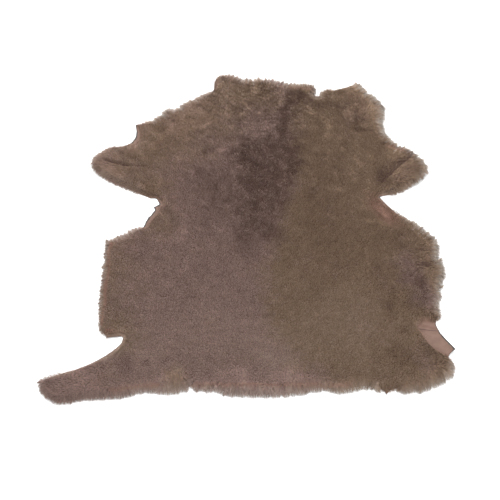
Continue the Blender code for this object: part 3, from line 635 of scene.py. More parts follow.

# Where the wool is darker, or, with a size below zero, paler: the dorsal stripe and dots, painted shade in
# hollows, and painted light on sunlit tufts, along the rims and over the hindquarters.
SHADES = (
    Line("nape", 0.114, 0.420, 0.162, 0.412, 0.026, 0.62),
    Line("nape's foot", 0.150, 0.405, 0.190, 0.392, 0.028, 0.45),
    Line("mane", 0.135, 0.398, 0.098, 0.352, 0.030, 0.60),
    Line("mane's foot", 0.096, 0.345, 0.090, 0.275, 0.024, 0.60),
    Line("withers", -0.012, 0.232, 0.115, 0.232, 0.046, 0.80),
    Line("withers right", 0.100, 0.262, 0.130, 0.200, 0.038, 0.22),
    Line("back", -0.030, 0.195, 0.105, 0.170, 0.056, 0.82),
    Line("middle of the back", 0.010, 0.135, 0.085, 0.120, 0.058, 0.84),
    Line("back of the ribs", 0.020, 0.085, 0.070, 0.050, 0.058, 0.80),
    Line("loins", 0.020, 0.020, 0.050, -0.040, 0.064, 0.72),
    Line("left of the back", -0.090, 0.120, -0.060, 0.060, 0.080, 0.40),
    Line("beside the stripe", -0.025, 0.135, -0.015, -0.070, 0.042, 0.26),
    Line("crest", 0.110, 0.372, 0.122, 0.270, 0.055, 0.34),
    Line("left neck slope", -0.225, 0.335, -0.120, 0.365, 0.060, 0.28),
    Line("neck crown", -0.085, 0.485, -0.060, 0.425, 0.045, -0.22),
    Line("neck middle", 0.020, 0.330, 0.030, 0.315, 0.050, 0.12),
    Line("nape's right", 0.200, 0.420, 0.300, 0.435, 0.035, -0.26),
    Line("nape's left", 0.100, 0.450, 0.175, 0.445, 0.018, -0.25),
    Line("right neck", 0.160, 0.378, 0.270, 0.380, 0.036, 0.26),
    Line("hindquarters", -0.280, -0.300, 0.200, -0.330, 0.280, -0.12),
    Line("left ribs", -0.140, 0.130, -0.100, -0.010, 0.075, 0.20),
    Line("stripe's end", -0.020, -0.050, 0.000, -0.095, 0.060, 0.26),
    Line("right ribs", 0.150, 0.200, 0.200, -0.050, 0.160, 0.16),
    Line("neck spot", 0.055, 0.400, 0.075, 0.398, 0.015, 0.32),
    Line("neck spot high", 0.035, 0.440, 0.042, 0.455, 0.013, 0.30),
    Line("neck spot low", 0.045, 0.352, 0.060, 0.330, 0.016, 0.26),
    Line("neck spot lowest", 0.040, 0.300, 0.050, 0.265, 0.018, 0.32),
    Line("neck dot", -0.036, 0.364, -0.028, 0.360, 0.018, 0.45),
    Line("neck dot high", 0.000, 0.387, 0.006, 0.383, 0.013, 0.40),
    Line("neck dot low", -0.030, 0.330, -0.022, 0.326, 0.018, 0.25),
    Line("shoulder dot", -0.145, 0.281, -0.139, 0.279, 0.013, 0.40),
    Line("shoulder blade dot", -0.124, 0.215, -0.104, 0.222, 0.018, 0.42),
    Line("shoulder dot right", -0.068, 0.262, -0.058, 0.262, 0.015, 0.30),
    Line("right foreleg hollow", 0.402, 0.190, 0.352, 0.140, 0.030, 0.28),
    Line("right foreleg pool", 0.356, 0.138, 0.362, 0.120, 0.020, 0.18),
    Line("right foreleg root", 0.354, 0.222, 0.362, 0.240, 0.022, 0.25),
    Line("right foreleg brow", 0.372, 0.243, 0.398, 0.243, 0.010, 0.45),
    Line("neck lobe's foot", 0.300, 0.293, 0.348, 0.290, 0.013, 0.55),
    Line("neck lobe's side", 0.290, 0.400, 0.318, 0.318, 0.022, 0.18),
    Line("right flank gap", 0.447, -0.138, 0.458, -0.140, 0.012, 0.95),
    Line("right flank hollow", 0.385, -0.155, 0.432, -0.205, 0.046, 0.24),
    Line("right flank hollow's core", 0.431, -0.160, 0.427, -0.200, 0.020, 0.34),
    Line("right flank dot", 0.344, -0.250, 0.346, -0.262, 0.014, 0.30),
    Line("right flank dot low", 0.373, -0.312, 0.376, -0.320, 0.012, 0.30),
    Line("right flank", 0.375, -0.050, 0.430, -0.110, 0.060, 0.12),
    Line("right thigh", 0.350, -0.385, 0.425, -0.410, 0.055, 0.24),
    Line("rump gap", 0.071, -0.462, 0.074, -0.480, 0.010, 0.50),
    Line("above the rump tuft", -0.010, -0.415, 0.020, -0.425, 0.020, 0.04),
    Line("left stifle", -0.318, -0.330, -0.330, -0.372, 0.030, -0.34),
    Line("left thigh", -0.300, -0.392, -0.296, -0.428, 0.022, 0.30),
    Line("left thigh dot", -0.252, -0.411, -0.244, -0.409, 0.013, 0.30),
    Line("left buttock dot", -0.203, -0.396, -0.196, -0.394, 0.012, 0.25),
    Line("right neck lobe", 0.310, 0.345, 0.300, 0.410, 0.062, 0.52),
    Line("right neck's rim", 0.376, 0.330, 0.342, 0.430, 0.030, -0.36),
    Line("right foreleg lobe", 0.450, 0.168, 0.398, 0.118, 0.040, 0.50),
    Line("right flank's rim", 0.415, -0.085, 0.435, -0.235, 0.070, 0.38),
    Line("right belly's rim", 0.482, -0.075, 0.478, -0.270, 0.020, -0.10),
    Line("right hind lobe's rim", 0.490, -0.410, 0.470, -0.455, 0.022, -0.40),
    Line("rump's rim", -0.300, -0.484, 0.300, -0.478, 0.022, -0.20),
    Line("right hind cheek", 0.452, -0.390, 0.466, -0.425, 0.050, 0.36),
    Line("right buttock", 0.200, -0.310, 0.350, -0.350, 0.150, -0.12),
    Line("rump", -0.260, -0.385, 0.080, -0.370, 0.130, -0.10),
    Line("rump right", 0.030, -0.350, 0.050, -0.425, 0.060, -0.10),
    Line("left belly's rim", -0.365, -0.090, -0.362, -0.320, 0.036, -0.06),
    Line("left foreleg's underside", -0.410, 0.145, -0.300, 0.098, 0.030, -0.26),
    Line("rump tuft left", -0.178, -0.422, -0.178, -0.468, 0.026, -0.20),
    Line("rump tuft middle", -0.018, -0.438, -0.018, -0.470, 0.020, -0.12),
    Line("rump tuft right", 0.100, -0.432, 0.104, -0.470, 0.028, -0.15),
    Line("rump streak", 0.032, -0.386, 0.108, -0.410, 0.014, -0.16),
    Line("left thigh lobe", -0.330, -0.462, -0.240, -0.462, 0.022, -0.12),
    Line("hind leg's upper edge", -0.308, -0.352, -0.345, -0.388, 0.014, -0.62),
    Line("hind leg's upper edge end", -0.345, -0.388, -0.470, -0.444, 0.013, -0.62),
    Line("right neck crown", 0.318, 0.455, 0.338, 0.430, 0.030, -0.30),
    Line("right elbow", 0.360, 0.082, 0.420, 0.098, 0.018, -0.40),
    Line("right foreleg tip", 0.478, 0.150, 0.480, 0.185, 0.020, -0.30),
    Line("neck edge", -0.020, 0.478, 0.060, 0.475, 0.022, -0.30),
    Line("right neck low", 0.274, 0.325, 0.250, 0.300, 0.045, 0.12),
    Line("mane's left", 0.070, 0.375, 0.070, 0.320, 0.035, 0.14),
    Line("right belly", 0.350, -0.130, 0.345, -0.290, 0.060, 0.12),
    Line("neck slope's rim", -0.300, 0.332, -0.130, 0.426, 0.024, -0.26),
    Line("left foreleg brow", -0.310, 0.240, -0.428, 0.198, 0.032, -0.28),
    Line("right flank's edge", 0.470, -0.130, 0.472, -0.200, 0.020, 0.16),
    Line("left shoulder's edge", -0.300, 0.295, -0.272, 0.262, 0.040, -0.16),
)

# Where the left half of the wool is as olive as all of the right half, or, with a size below zero, where the
# right half is mauve.
OLIVE = (
    Line("right flank hollow", 0.400, -0.140, 0.440, -0.240, 0.060, -0.80),
    Line("right thigh", 0.395, -0.375, 0.420, -0.420, 0.045, -0.45),
    Line("left neck", -0.260, 0.250, -0.090, 0.400, 0.200, 0.80),
    Line("left foreleg", -0.430, 0.170, -0.300, 0.120, 0.110, 0.38),
    Line("neck", 0.020, 0.440, 0.080, 0.400, 0.100, 0.60),
    Line("left belly", -0.380, -0.080, -0.380, -0.300, 0.150, 0.60),
    Line("left armpit", -0.260, 0.080, -0.230, -0.020, 0.080, 0.55),
    Line("left stifle", -0.300, -0.320, -0.290, -0.350, 0.070, 0.45),
    Line("rump tuft left", -0.178, -0.435, -0.170, -0.470, 0.040, 0.60),
)

# Where the leather's red shows between the locks, a little way in from the rim.
BLUSH = (
    Line("left belly", -0.3625, -0.070, -0.3605, -0.175, 0.007, 1.05),
    Line("left belly low", -0.3605, -0.175, -0.3650, -0.306, 0.007, 1.05),
    Line("left stifle", -0.3500, -0.327, -0.3090, -0.328, 0.007, 1.05),
    Line("neck edge", 0.120, 0.446, 0.180, 0.441, 0.010, 0.60),
    Line("right foreleg brow", 0.385, 0.236, 0.430, 0.222, 0.010, 0.60),
    Line("right armpit", 0.340, 0.050, 0.372, 0.008, 0.032, 0.35),
    Line("left hind leg", -0.320, -0.368, -0.440, -0.430, 0.006, 0.45),
    Line("left thigh", -0.330, -0.482, -0.215, -0.469, 0.009, 0.75),
    Line("rump", -0.130, -0.468, 0.240, -0.472, 0.008, 0.70),
)

# Where the wool is longer and looser: over the neck and the shoulders, and down the dorsal stripe.
LONGER = (
    Line("neck", -0.060, 0.430, 0.150, 0.400, 0.140, 1.2),
    Line("withers", 0.060, 0.330, 0.040, 0.170, 0.130, 1.0),
    Line("shoulders", -0.120, 0.270, 0.000, 0.240, 0.110, 0.6),
    Line("back", 0.040, 0.170, 0.030, 0.000, 0.100, 0.5),
    Line("right neck", 0.230, 0.390, 0.220, 0.180, 0.150, 0.45),
)

# The creases across the forelegs. On the left of a line, looking along it, the wool sinks and is painted dark
# for the crease's shade, and comes back over the spread. On the right the wool's edge stands over it.
Fold = namedtuple("Fold", "name x0 y0 x1 y1 spread sink dark")
FOLDS = (
    Fold("right foreleg", 0.364, 0.118, 0.402, 0.160, 0.036, 0.0085, 0.75),
    Fold("right foreleg end", 0.402, 0.160, 0.452, 0.204, 0.028, 0.0080, 0.75),
    Fold("left foreleg", -0.394, 0.182, -0.340, 0.168, 0.016, 0.0080, 0.90),
    Fold("left foreleg end", -0.340, 0.168, -0.288, 0.166, 0.010, 0.0040, 0.40),
)
FOLD_LIP = 0.0022       # how far the wool on the right takes to reach its full height


def folded(points):
    """How deep each point is in a crease's wool: what it sinks by, and how dark its painted shade is."""
    sink, dark = np.zeros(len(points)), np.zeros(len(points))
    for fold in FOLDS:
        away, run = ways_from(fold, points)
        left = away[:, 1] * run[0] - away[:, 0] * run[1] > 0.0
        inside = eased(1.0 - np.linalg.norm(away, axis=1) / np.where(left, fold.spread, FOLD_LIP))
        sink = np.maximum(sink, fold.sink * inside)
        dark = np.maximum(dark, fold.dark * inside)
    return sink, dark


def wool_cover(points, depth, wool):
    """The share of the wool's full height at each point."""
    grown_back = wool + (1.0 - wool) * eased(depth / BARE_MARGIN)
    return patch_cover(points) * grown_back


def swell_at(depth):
    """The rounding of the wool towards the rim, from 0 there to 1."""
    into = np.clip(depth / RIM_ROUND, 0.0, 1.0)
    return np.sqrt(1.0 - (1.0 - into) ** 2)


def noise_at(points, across, layer=0.0):
    """A soft noise from about -0.7 to 0.7 with lumps of that size."""
    return np.array([noise.noise((x / across, y / across, layer)) for x, y in points])


def pile_at(points, depth):
    """The height of the wool above the leather where it isn't cut short."""
    swell = swell_at(depth)
    pile = RIM_TIP + (PILE - RIM_TIP) * swell - swell * (along_lines(points, WOOL_FOLDS) + folded(points)[0])
    for across, height in LUMPS:
        pile += swell * height * noise_at(points, across, across)
    return np.maximum(pile, 0.0)


def ground_height(points, depth, wool):
    """The height of the fleece's ground, just under the leather's face where the wool is thin or gone."""
    cover = wool_cover(points, depth, wool)
    share = eased((cover - 0.45) / 0.45) * GROUND_SHARE * eased((depth - GROUND_INSET + 0.004) / 0.012)
    sunk = along_lines(points, LIFTS) + LEATHER - GROUND_SUNK
    return sunk + GROUND_RISE * eased((cover - 0.20) / 0.10) + share * pile_at(points, depth)


def warped(points):
    """The points moved a little at random, so that what follows them has ragged edges."""
    moved = points.copy()
    for across, reach in RAGGED:
        for axis, layer in enumerate((51.0, 52.0)):
            moved[:, axis] += reach * noise_at(points, across, layer)
    return moved


def ragged(points, lines):
    """The sum of what the lines add, with ragged edges: less ragged where a line is narrow."""
    moved = warped(points)
    wide = [line for line in lines if line.spread > NARROW]
    narrow = [line for line in lines if line.spread <= NARROW]
    return along_lines(moved, wide) + along_lines(0.65 * points + 0.35 * moved, narrow)


def longer_at(points):
    """How much longer and looser than elsewhere the wool is, from 0 to 1."""
    return np.clip(along_lines(points, LONGER) + 0.3 * noise_at(points, 0.050, 41.0), 0.0, 1.0)


def shade_at(points, combed=0.0):
    """How dark the wool is: the table's places with ragged edges, dark spots of painted shade between the
    long wool's curls, a mottling, and painted shade in the creases.
    """
    dark = ragged(points, SHADES)
    longer = longer_at(points)
    rough = (0.14 + 0.03 * longer + 1.10 * np.clip(dark - 0.30, 0.0, 0.35)) * (1.0 - 0.7 * combed)
    mottle = sum(0.8 * noise_at(points, across, 3.0) for across in MOTTLES)
    spots = np.clip(noise_at(points, 0.009, 7.0) + 0.5 * noise_at(points, 0.040, 8.0) - 0.35, 0.0, 0.3)
    broad = 0.06 * noise_at(points, 0.110, 9.0)
    return dark + rough * mottle + 0.9 * longer * spots + broad + folded(points)[1]


def warmth_at(points):
    """How olive the wool is, from mauve at 0 to olive at 1: the right half olive as a painted sheen of how
    its pile leans to the light, the table's places and a mottling.
    """
    across, along = warped(points).T
    middle = 0.115 - 0.070 * eased((0.15 - along) / 0.35) + 0.050 * eased((-0.28 - along) / 0.12)
    mauve_rump = eased((-0.37 - along) / 0.08) * eased((0.26 - across) / 0.14)
    right = eased((across - middle) / 0.090 + 0.5) * (1.0 - 0.7 * mauve_rump)
    places = along_lines(warped(points), OLIVE)
    mottle = 0.25 * noise_at(points, 0.060, 11.0) + 0.22 * noise_at(points, 0.014, 12.0)
    return np.maximum(right, np.clip(places, 0.0, 0.9)) + np.minimum(places, 0.0) + mottle


def thin_at(points, cover):
    """How much of the leather's colour shows through the wool."""
    blush = along_lines(0.7 * points + 0.3 * warped(points), BLUSH)
    return 1.0 - 0.75 * patch_cover(points) - 0.25 * np.clip(cover, 0.0, 1.0) + blush


def ground_under(points):
    """The height of the ground's underside at each point."""
    return along_lines(points, LIFTS) + GROUND_UNDER


def ground_top(points):
    """The height of the ground's upper side at each point."""
    depth, nearest = edge_near(points)
    return ground_height(points, depth, edge_wool[nearest])


def ground_mesh():
    """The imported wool: a lumpy top over an underside within the leather."""
    inner = lattice(GROUND_LATTICE)
    depth, nearest = edge_near(inner)
    inner = inner[depth > inset_at(nearest, GROUND_INSET) + CLEAR_OF_GROUND]
    loop = inset_loop(GROUND_INSET, GROUND_BARE_INSET, GROUND_STEP)
    return mesh_of("wool_ground", sheet_between(loop, inner, ground_under, ground_top))


def fibre_pattern():
    """Wool's fibres: crimped streaks that run up a lock, and the fine and coarse mottling of the fleece."""
    tree, given, out = new_group(
        "Wool fibres", [("Place", "Vector"), ("Lock", "Vector"), ("Chance", "Float")],
        [("Streaks", "Float"), ("Fine", "Float"), ("Coarse", "Float")],
    )
    parts = node(tree, "ShaderNodeSeparateXYZ")
    drawn = node(tree, "ShaderNodeCombineXYZ")
    crimp = node(tree, "ShaderNodeTexNoise", {"Scale": 1.0, "Detail": 3.0, "Roughness": 0.6})
    wire(
        tree,
        (given["Lock"], parts.inputs[0]),
        (times(tree, parts.outputs["X"], 7.0), drawn.inputs["X"]),
        (times(tree, parts.outputs["Y"], 1.6), drawn.inputs["Y"]),
        (times(tree, given["Chance"], 90.0), drawn.inputs["Z"]),
        (drawn.outputs[0], crimp.inputs["Vector"]),
        (spread(tree, crimp.outputs["Fac"], 0.32, 0.68), out["Streaks"]),
        (spread(tree, clouds(tree, given["Place"], 480.0, 3.0, 0.6), 0.34, 0.66), out["Fine"]),
        (spread(tree, clouds(tree, given["Place"], 95.0, 3.0, 0.6), 0.34, 0.66), out["Coarse"]),
    )
    return tree


wool_fibres = fibre_pattern()

# The wool's dyed colours; their split between the left and right halves is a painted sheen of how the pile
# leans to the light.
MAUVE_TAUPE, OLIVE_BROWN = (0.307, 0.202, 0.176), (0.261, 0.1735, 0.112)
# Painted shade at the roots of the locks and on the ground between them, and painted light through the thin
# tips at the rim.
ROOT_SHADE_BROWN, BACKLIT_TIP = (0.070, 0.043, 0.035), (0.800, 0.765, 0.720)
SKIN_RED, SKIN_RED_SHADED = (0.320, 0.180, 0.135), (0.180, 0.103, 0.075)  # at the locks, and painted in shade for deep between them
DARK_WOOL, SUNLIT_WOOL = (0.068, 0.035, 0.027), (0.480, 0.372, 0.296)


def wool_material(name, on_locks):
    """Dyed wool: mauve taupe to olive brown with a painted sheen between them, darker at its roots for
    painted shade, paler at its rim's tips for painted light through them, with a soft bloom.
    """
    material, tree, shader, place = new_material(name, 0.92)
    fibres = node(tree, "ShaderNodeGroup", node_tree=wool_fibres)
    wire(tree, (place, fibres.inputs["Place"]), (read(tree, "chance"), fibres.inputs["Chance"]))
    dye_and_painted_light = mixed(tree, read(tree, "warmth"), MAUVE_TAUPE, OLIVE_BROWN)
    streaked = fibres.outputs["Fine"]
    if on_locks:
        lock = node(tree, "ShaderNodeUVMap", uv_map="lock")
        along = node(tree, "ShaderNodeSeparateXYZ")
        wire(tree, (lock.outputs["UV"], fibres.inputs["Lock"]), (lock.outputs["UV"], along.inputs[0]))
        streaked = fibres.outputs["Streaks"]
        # Painted shade at the lock's roots.
        root_shaded = spread(tree, along.outputs["Y"], 0.05, 0.85, 0.55, 0.0)
        dye_and_painted_light = mixed(tree, root_shaded, dye_and_painted_light, ROOT_SHADE_BROWN)
        # Painted light through the thin tips at the rim.
        backlit = times(tree, read(tree, "pale"), spread(tree, along.outputs["Y"], 0.25, 1.0))
        dye_and_painted_light = mixed(tree, backlit, dye_and_painted_light, BACKLIT_TIP)
    else:
        # Painted shade on the ground between the locks.
        root_shaded = spread(tree, fibres.outputs["Coarse"], 0.0, 1.0, 0.80, 0.55)
        dye_and_painted_light = mixed(tree, root_shaded, dye_and_painted_light, ROOT_SHADE_BROWN)
    dye_and_painted_light = mixed(tree, read(tree, "thin"), dye_and_painted_light, SKIN_RED if on_locks else SKIN_RED_SHADED)
    darker = spread(tree, read(tree, "shade"), 0.0, 1.0, 0.0, 0.85)
    shaded = mixed(tree, darker, dye_and_painted_light, DARK_WOOL)
    lighter = spread(tree, read(tree, "shade"), 0.0, -1.0, 0.0, 0.85)
    lit = mixed(tree, lighter, shaded, SUNLIT_WOOL)
    varied = node(tree, "ShaderNodeHueSaturation")
    tone = sum_of(
        tree,
        spread(tree, streaked, 0.0, 1.0, 0.86, 1.12),
        spread(tree, read(tree, "chance"), 0.0, 1.0, -0.10, 0.10),
        spread(tree, fibres.outputs["Coarse"], 0.0, 1.0, -0.05, 0.05),
    )
    wire(tree, (lit, varied.inputs["Color"]), (tone, varied.inputs["Value"]))
    wire(tree, (varied.outputs["Color"], shader.inputs["Base Color"]))
    shader.inputs["Sheen Weight"].default_value = 0.20
    shader.inputs["Sheen Roughness"].default_value = 0.55
    shader.inputs["Sheen Tint"].default_value = (0.80, 0.66, 0.56, 1.0)
    shader.inputs["Specular IOR Level"].default_value = 0.2
    bumps(tree, shader, streaked, 0.0005, 0.6)
    return material


ground_surface = ground_mesh()
ground_places = places_on(ground_surface)
give(ground_surface, "shade", shade_at(ground_places))
give(ground_surface, "warmth", warmth_at(ground_places))
give(ground_surface, "chance", 0.5 + 0.7 * noise_at(ground_places, 0.006, 21.0))
ground_depth, ground_nearest = edge_near(ground_places)
ground_cover = wool_cover(ground_places, ground_depth, edge_wool[ground_nearest])
give(ground_surface, "thin", thin_at(ground_places, ground_cover))
ground = shown("wool_ground", ground_surface, wool_material("packed wool", False))
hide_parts("sheepskin")


# The locks of the fleece: 141,000 small shorn tufts all over the skin, and finer, longer strands that splay
# out past the cut edge. Neighbours draw together at their tips into clumps of 6 to 10 mm, as real wool does.

TUFT_GAP = 0.00265      # between the tips of the shorn tufts
STRAND_GAP = 0.00215    # between the tips of the strands at the rim
HAIR_GAP = 0.0080       # between the loose hairs that lie over the long wool
WHISKER_GAP = 0.0034    # between those that stand out of the rim
UNDER_GAP = 0.00150     # along the rim, between the strands that fill it from below
CLUMP_SHARE = 0.62      # how far out a clump reaches, as a share of the distance between two
chance = np.random.default_rng(7)

# Each of these has a first value, and what is added to it at full wool or, for the swirl, in the longest.
RIM_BAND = (0.008, 0.022)   # how far in from the rim the strands replace the tufts
RIM_FLUFF = (0.010, 0.032)  # how far in the wool belongs to the rim
RIM_SPLAY = (0.003, 0.018)  # how far the rim's tips stand out from their roots
PALE_DEPTH = (0.012, 0.008)  # how far in from the rim's tips the wool is painted pale, for the light through its thin tips
TIPS_PAST = (0.0038, 0.0012)  # how far the longest tips reach past the outline
SWIRL = (0.0022, 0.0034)    # how far the tips swirl about

TAILWARD = np.array((0.10, -1.0))
LEAN = 0.0022           # how far the tips stand out tailward from their roots
SWIRL_SIZE = 0.026
FANNING = 0.30          # how far a tuft of the rim fans out, as a share of its splay
SWATHE_SHARE = 0.0050   # how much the swathes count in the wool's lay, as a reach
SWATHE_CORE = 0.035     # the distance from its middle at which a swathe's hold has faded to a quarter

# The kinds of lock: its radius, the size of its clumps, how far they draw together and how much they dome,
# the unevenness of its height, and where its shapes start among the lock shapes.
Kind = namedtuple("Kind", "name radius clump pull dome uneven shapes")
TUFT = Kind("tuft", 0.00145, 0.0066, 0.26, 0.0013, 0.0005, 0)
LONG = Kind("long tuft", 0.00138, 0.0095, 0.26, 0.0018, 0.0009, 0)
STRAND = Kind("strand", 0.00072, 0.0060, 0.30, 0.0012, 0.0012, 4)
UNDER = Kind("under strand", 0.00075, 0.0070, 0.25, 0.0000, 0.0004, 4)
HAIR = Kind("hair", 0.00045, 0.0400, 0.00, 0.0000, 0.0010, 4)

# Where the wool is combed: away from a point, most in the middle of a circle, by the reach there.
Combed = namedtuple("Combed", "name across along radius from_across from_along reach")
COMBED = (
    Combed("right neck lobe", 0.345, 0.385, 0.110, 0.265, 0.300, 0.0100),
    Combed("right foreleg lobe", 0.435, 0.150, 0.080, 0.300, 0.070, 0.0120),
    Combed("right foreleg brow", 0.410, 0.215, 0.050, 0.330, 0.195, 0.0060),
    Combed("right flank", 0.455, -0.150, 0.120, 0.300, -0.150, 0.0060),
    Combed("right hind lobe", 0.455, -0.430, 0.080, 0.380, -0.370, 0.0080),
    Combed("rump tuft left", -0.178, -0.450, 0.060, -0.182, -0.385, 0.0100),
    Combed("rump tuft middle", -0.020, -0.455, 0.060, -0.020, -0.380, 0.0080),
    Combed("rump tuft right", 0.100, -0.450, 0.070, 0.100, -0.370, 0.0100),
    Combed("left neck slope", -0.180, 0.350, 0.110, -0.060, 0.200, 0.0050),
    Combed("left foreleg", -0.390, 0.155, 0.070, -0.260, 0.140, 0.0050),
    Combed("left hind leg", -0.400, -0.460, 0.100, -0.250, -0.420, 0.0050),
)

# The way that the wool's streaks run in broad swathes, each about a middle, as a turn from +X.
Swathe = namedtuple("Swathe", "name across along turn_deg")
SWATHES = (
    Swathe("neck crown", -0.055, 0.400, -37), Swathe("neck middle", 0.015, 0.390, -15),
    Swathe("neck's right", 0.085, 0.385, -12), Swathe("left neck", -0.160, 0.330, -33),
    Swathe("crest", 0.080, 0.310, 5), Swathe("crest's right", 0.150, 0.390, -50),
    Swathe("left shoulder", -0.110, 0.230, -36), Swathe("left shoulder low", -0.180, 0.170, -40),
    Swathe("withers", 0.075, 0.170, 85), Swathe("withers left", 0.010, 0.100, 65),
    Swathe("right neck", 0.270, 0.320, -42), Swathe("right neck lobe", 0.330, 0.320, -52),
    Swathe("right shoulder", 0.190, 0.200, -66), Swathe("right foreleg's root", 0.300, 0.190, -45),
    Swathe("right ribs", 0.270, 0.040, 55), Swathe("right loin", 0.210, -0.100, 40),
    Swathe("left ribs", -0.200, 0.020, -40), Swathe("left flank", -0.280, -0.120, -42),
    Swathe("left belly", -0.200, -0.200, -33), Swathe("loins", -0.050, -0.180, -28),
    Swathe("left stifle", -0.130, -0.300, -26), Swathe("rump", 0.000, -0.330, -12),
    Swathe("rump right", 0.180, -0.340, 38), Swathe("right belly", 0.310, -0.200, -72),
    Swathe("right flank", 0.430, -0.180, -30), Swathe("right thigh", 0.330, -0.370, 42),
)

# How ruffled the rim is at each outline point: most at the neck, least along the rump.
turned = np.convolve(np.pad(edge_outward[:, 1], 30, "wrap"), np.full(61, 1.0 / 61.0), "valid")
edge_ruffled = 1.0 + 0.6 * turned

# The tufts that the rim's wool parts into: how wide they are, how deep the clefts beside them are as shares
# of that width, and how far back a whole tuft may stand.
Parting = namedtuple("Parting", "name narrow wide shallow deep back")
BROAD_TUFTS = Parting("broad tufts", 0.014, 0.034, 0.06, 0.22, 0.0)
FINE_TUFTS = Parting("fine tufts", 0.007, 0.014, 0.28, 0.60, 0.0030)


def parted(row):
    """Each outline point's place in its tuft, from -1 to 1, and how far behind the outline the tuft ends."""
    place, cleft = np.zeros(len(edge_points)), np.zeros(len(edge_points))
    start = 0.0
    while start < edge_lengths[-1]:
        width = chance.uniform(row.narrow, row.wide)
        within = (edge_lengths[:-1] >= start) & (edge_lengths[:-1] < start + width)
        place[within] = (edge_lengths[:-1][within] - start) / width * 2.0 - 1.0
        deep = chance.uniform(row.shallow, row.deep) * width
        cleft[within] = deep * place[within] ** 2 + chance.uniform(0.0, row.back)
        start += width
    return place, cleft


tuft_place, broad_cleft = parted(BROAD_TUFTS)
fine_cleft = parted(FINE_TUFTS)[1]
tuft_cleft = broad_cleft + 0.0030 * (1.0 - edge_ruffled) + edge_ruffled * fine_cleft


def graded(pair, share):
    """A first value, and more of what is added to it as the share goes to 1."""
    return pair[0] + pair[1] * share


def rim_inset(nearest):
    """How far behind the outline the tips lie: least in the middle of a tuft of the rim."""
    wool = edge_wool[nearest]
    return (0.60 + 0.40 * wool) * tuft_cleft[nearest] * 1.1 - graded(TIPS_PAST, wool)


def scattered(spacing):
    """Points about that far apart over the whole outline's box, each moved a little at random."""
    points = lattice(spacing)
    return points + chance.uniform(-0.45, 0.45, points.shape) * spacing


def unit(vectors):
    """The vectors at a length of 1."""
    return vectors / np.maximum(np.linalg.norm(vectors, axis=1), 1e-9)[:, None]


def fluff_at(depth, wool):
    """How much the wool at a point belongs to the rim, from 0 inside to 1 at the outermost tips."""
    return np.clip(1.0 - depth / graded(RIM_FLUFF, wool), 0.0, 1.0) ** 1.4


def splay_at(points, depth, nearest):
    """How far and which way the tips stand out from their roots at the rim and where the wool is combed."""
    wool = edge_wool[nearest]
    fluff = fluff_at(depth, wool)
    outward = edge_outward[nearest]
    along = np.stack((-outward[:, 1], outward[:, 0]), 1)
    splayed = outward - FANNING * (tuft_place[nearest] * wool)[:, None] * along
    splay = (fluff * graded(RIM_SPLAY, wool))[:, None] * splayed
    for row in COMBED:
        share = eased(1.0 - np.linalg.norm(points - (row.across, row.along), axis=1) / row.radius)
        away = unit(points - (row.from_across, row.from_along))
        splay += (row.reach * share * (1.0 - 0.6 * fluff))[:, None] * away
    return splay


def lean_at(points):
    """How far and which way the tips stand out from their roots everywhere: tailward, with a swirl."""
    swirl = np.stack([noise_at(points, SWIRL_SIZE, layer) for layer in (31.0, 32.0)], 1)
    return LEAN * unit(TAILWARD[None]) + graded(SWIRL, longer_at(points))[:, None] * swirl


def lie_at(points, splay):
    """The way of the wool's streaks: the nearest swathes' and the splay's. Opposite ways count as the same,
    so their turns from +X are doubled for the sum."""
    x, y = splay.T
    total = np.column_stack((x * x - y * y, 2.0 * x * y)) / np.maximum(np.hypot(x, y), 1e-9)[:, None]
    turns = np.radians([2.0 * row.turn_deg for row in SWATHES])
    away = np.array([np.hypot(*(points - (row.across, row.along)).T) for row in SWATHES])
    weights = 1.0 / (away**2 + SWATHE_CORE**2) ** 2
    weights /= weights.sum(0)
    total += SWATHE_SHARE * np.column_stack((np.cos(turns) @ weights, np.sin(turns) @ weights))
    turn = 0.5 * np.arctan2(total[:, 1], total[:, 0]) + 0.45 * noise_at(points, 0.040, 33.0)
    return np.column_stack((np.cos(turn), np.sin(turn)))


# The streaks in the wool, a painted light and shade of its strands that also lifts them a little: how broad
# they are, and how far they are drawn out to both sides along its lay.
FINE_STREAKS, BROAD_STREAKS, CRISP_STREAKS = (0.0031, 0.010), (0.0070, 0.020), (0.0020, 0.006)
CHANCES = chance.uniform(-1.0, 1.0, (512, 512))  # what the streaks are made of, in squares


def drawn_out(points, way, across, reach):
    """A soft noise with lumps of that size, drawn out along the way to both sides, from about -1 to 1."""
    total = np.zeros(len(points))
    for step in np.arange(-reach, reach, 0.4 * across):
        cell, within = np.divmod((points + step * way) / across, 1.0)
        (column, row), (x, y) = cell.astype(int).T % (len(CHANCES) - 1), eased(within).T
        low = CHANCES[row, column] * (1.0 - x) + CHANCES[row, column + 1] * x
        high = CHANCES[row + 1, column] * (1.0 - x) + CHANCES[row + 1, column + 1] * x
        total += low * (1.0 - y) + high * y
    return 0.4 * total / total.std()


def clumped(points, kind):
    """For each point: the way to its clump's middle, how far out in it the point is, the clump's chances."""
    centres = scattered(kind.clump)
    tree = tree_of(centres)
    number = np.array([tree.find((x, y, 0.0))[1] for x, y in points])
    away = centres[number] - points
    out = np.clip(np.linalg.norm(away, axis=1) / (CLUMP_SHARE * kind.clump), 0.0, 1.2)
    return away, out, chance.uniform(-1.0, 1.0, (len(centres), 3))[number]


LYING_REACH = 0.016     # the reach from root to tip at which a lock lies down
STREAK_RISE = 0.0010    # how far the wool of a streak stands up
ROOT_SUNK = 0.0006      # how far the roots are sunk into what they grow on
HAIR_REACH = 0.0060     # how much further than a lock a loose hair reaches
HAIR_STRAY = 0.0030     # how far it strays
HAIR_FALL = 0.0035      # how far its root lies under its tip
HAIR_RISE = 0.0010      # how far its tip stands over the locks

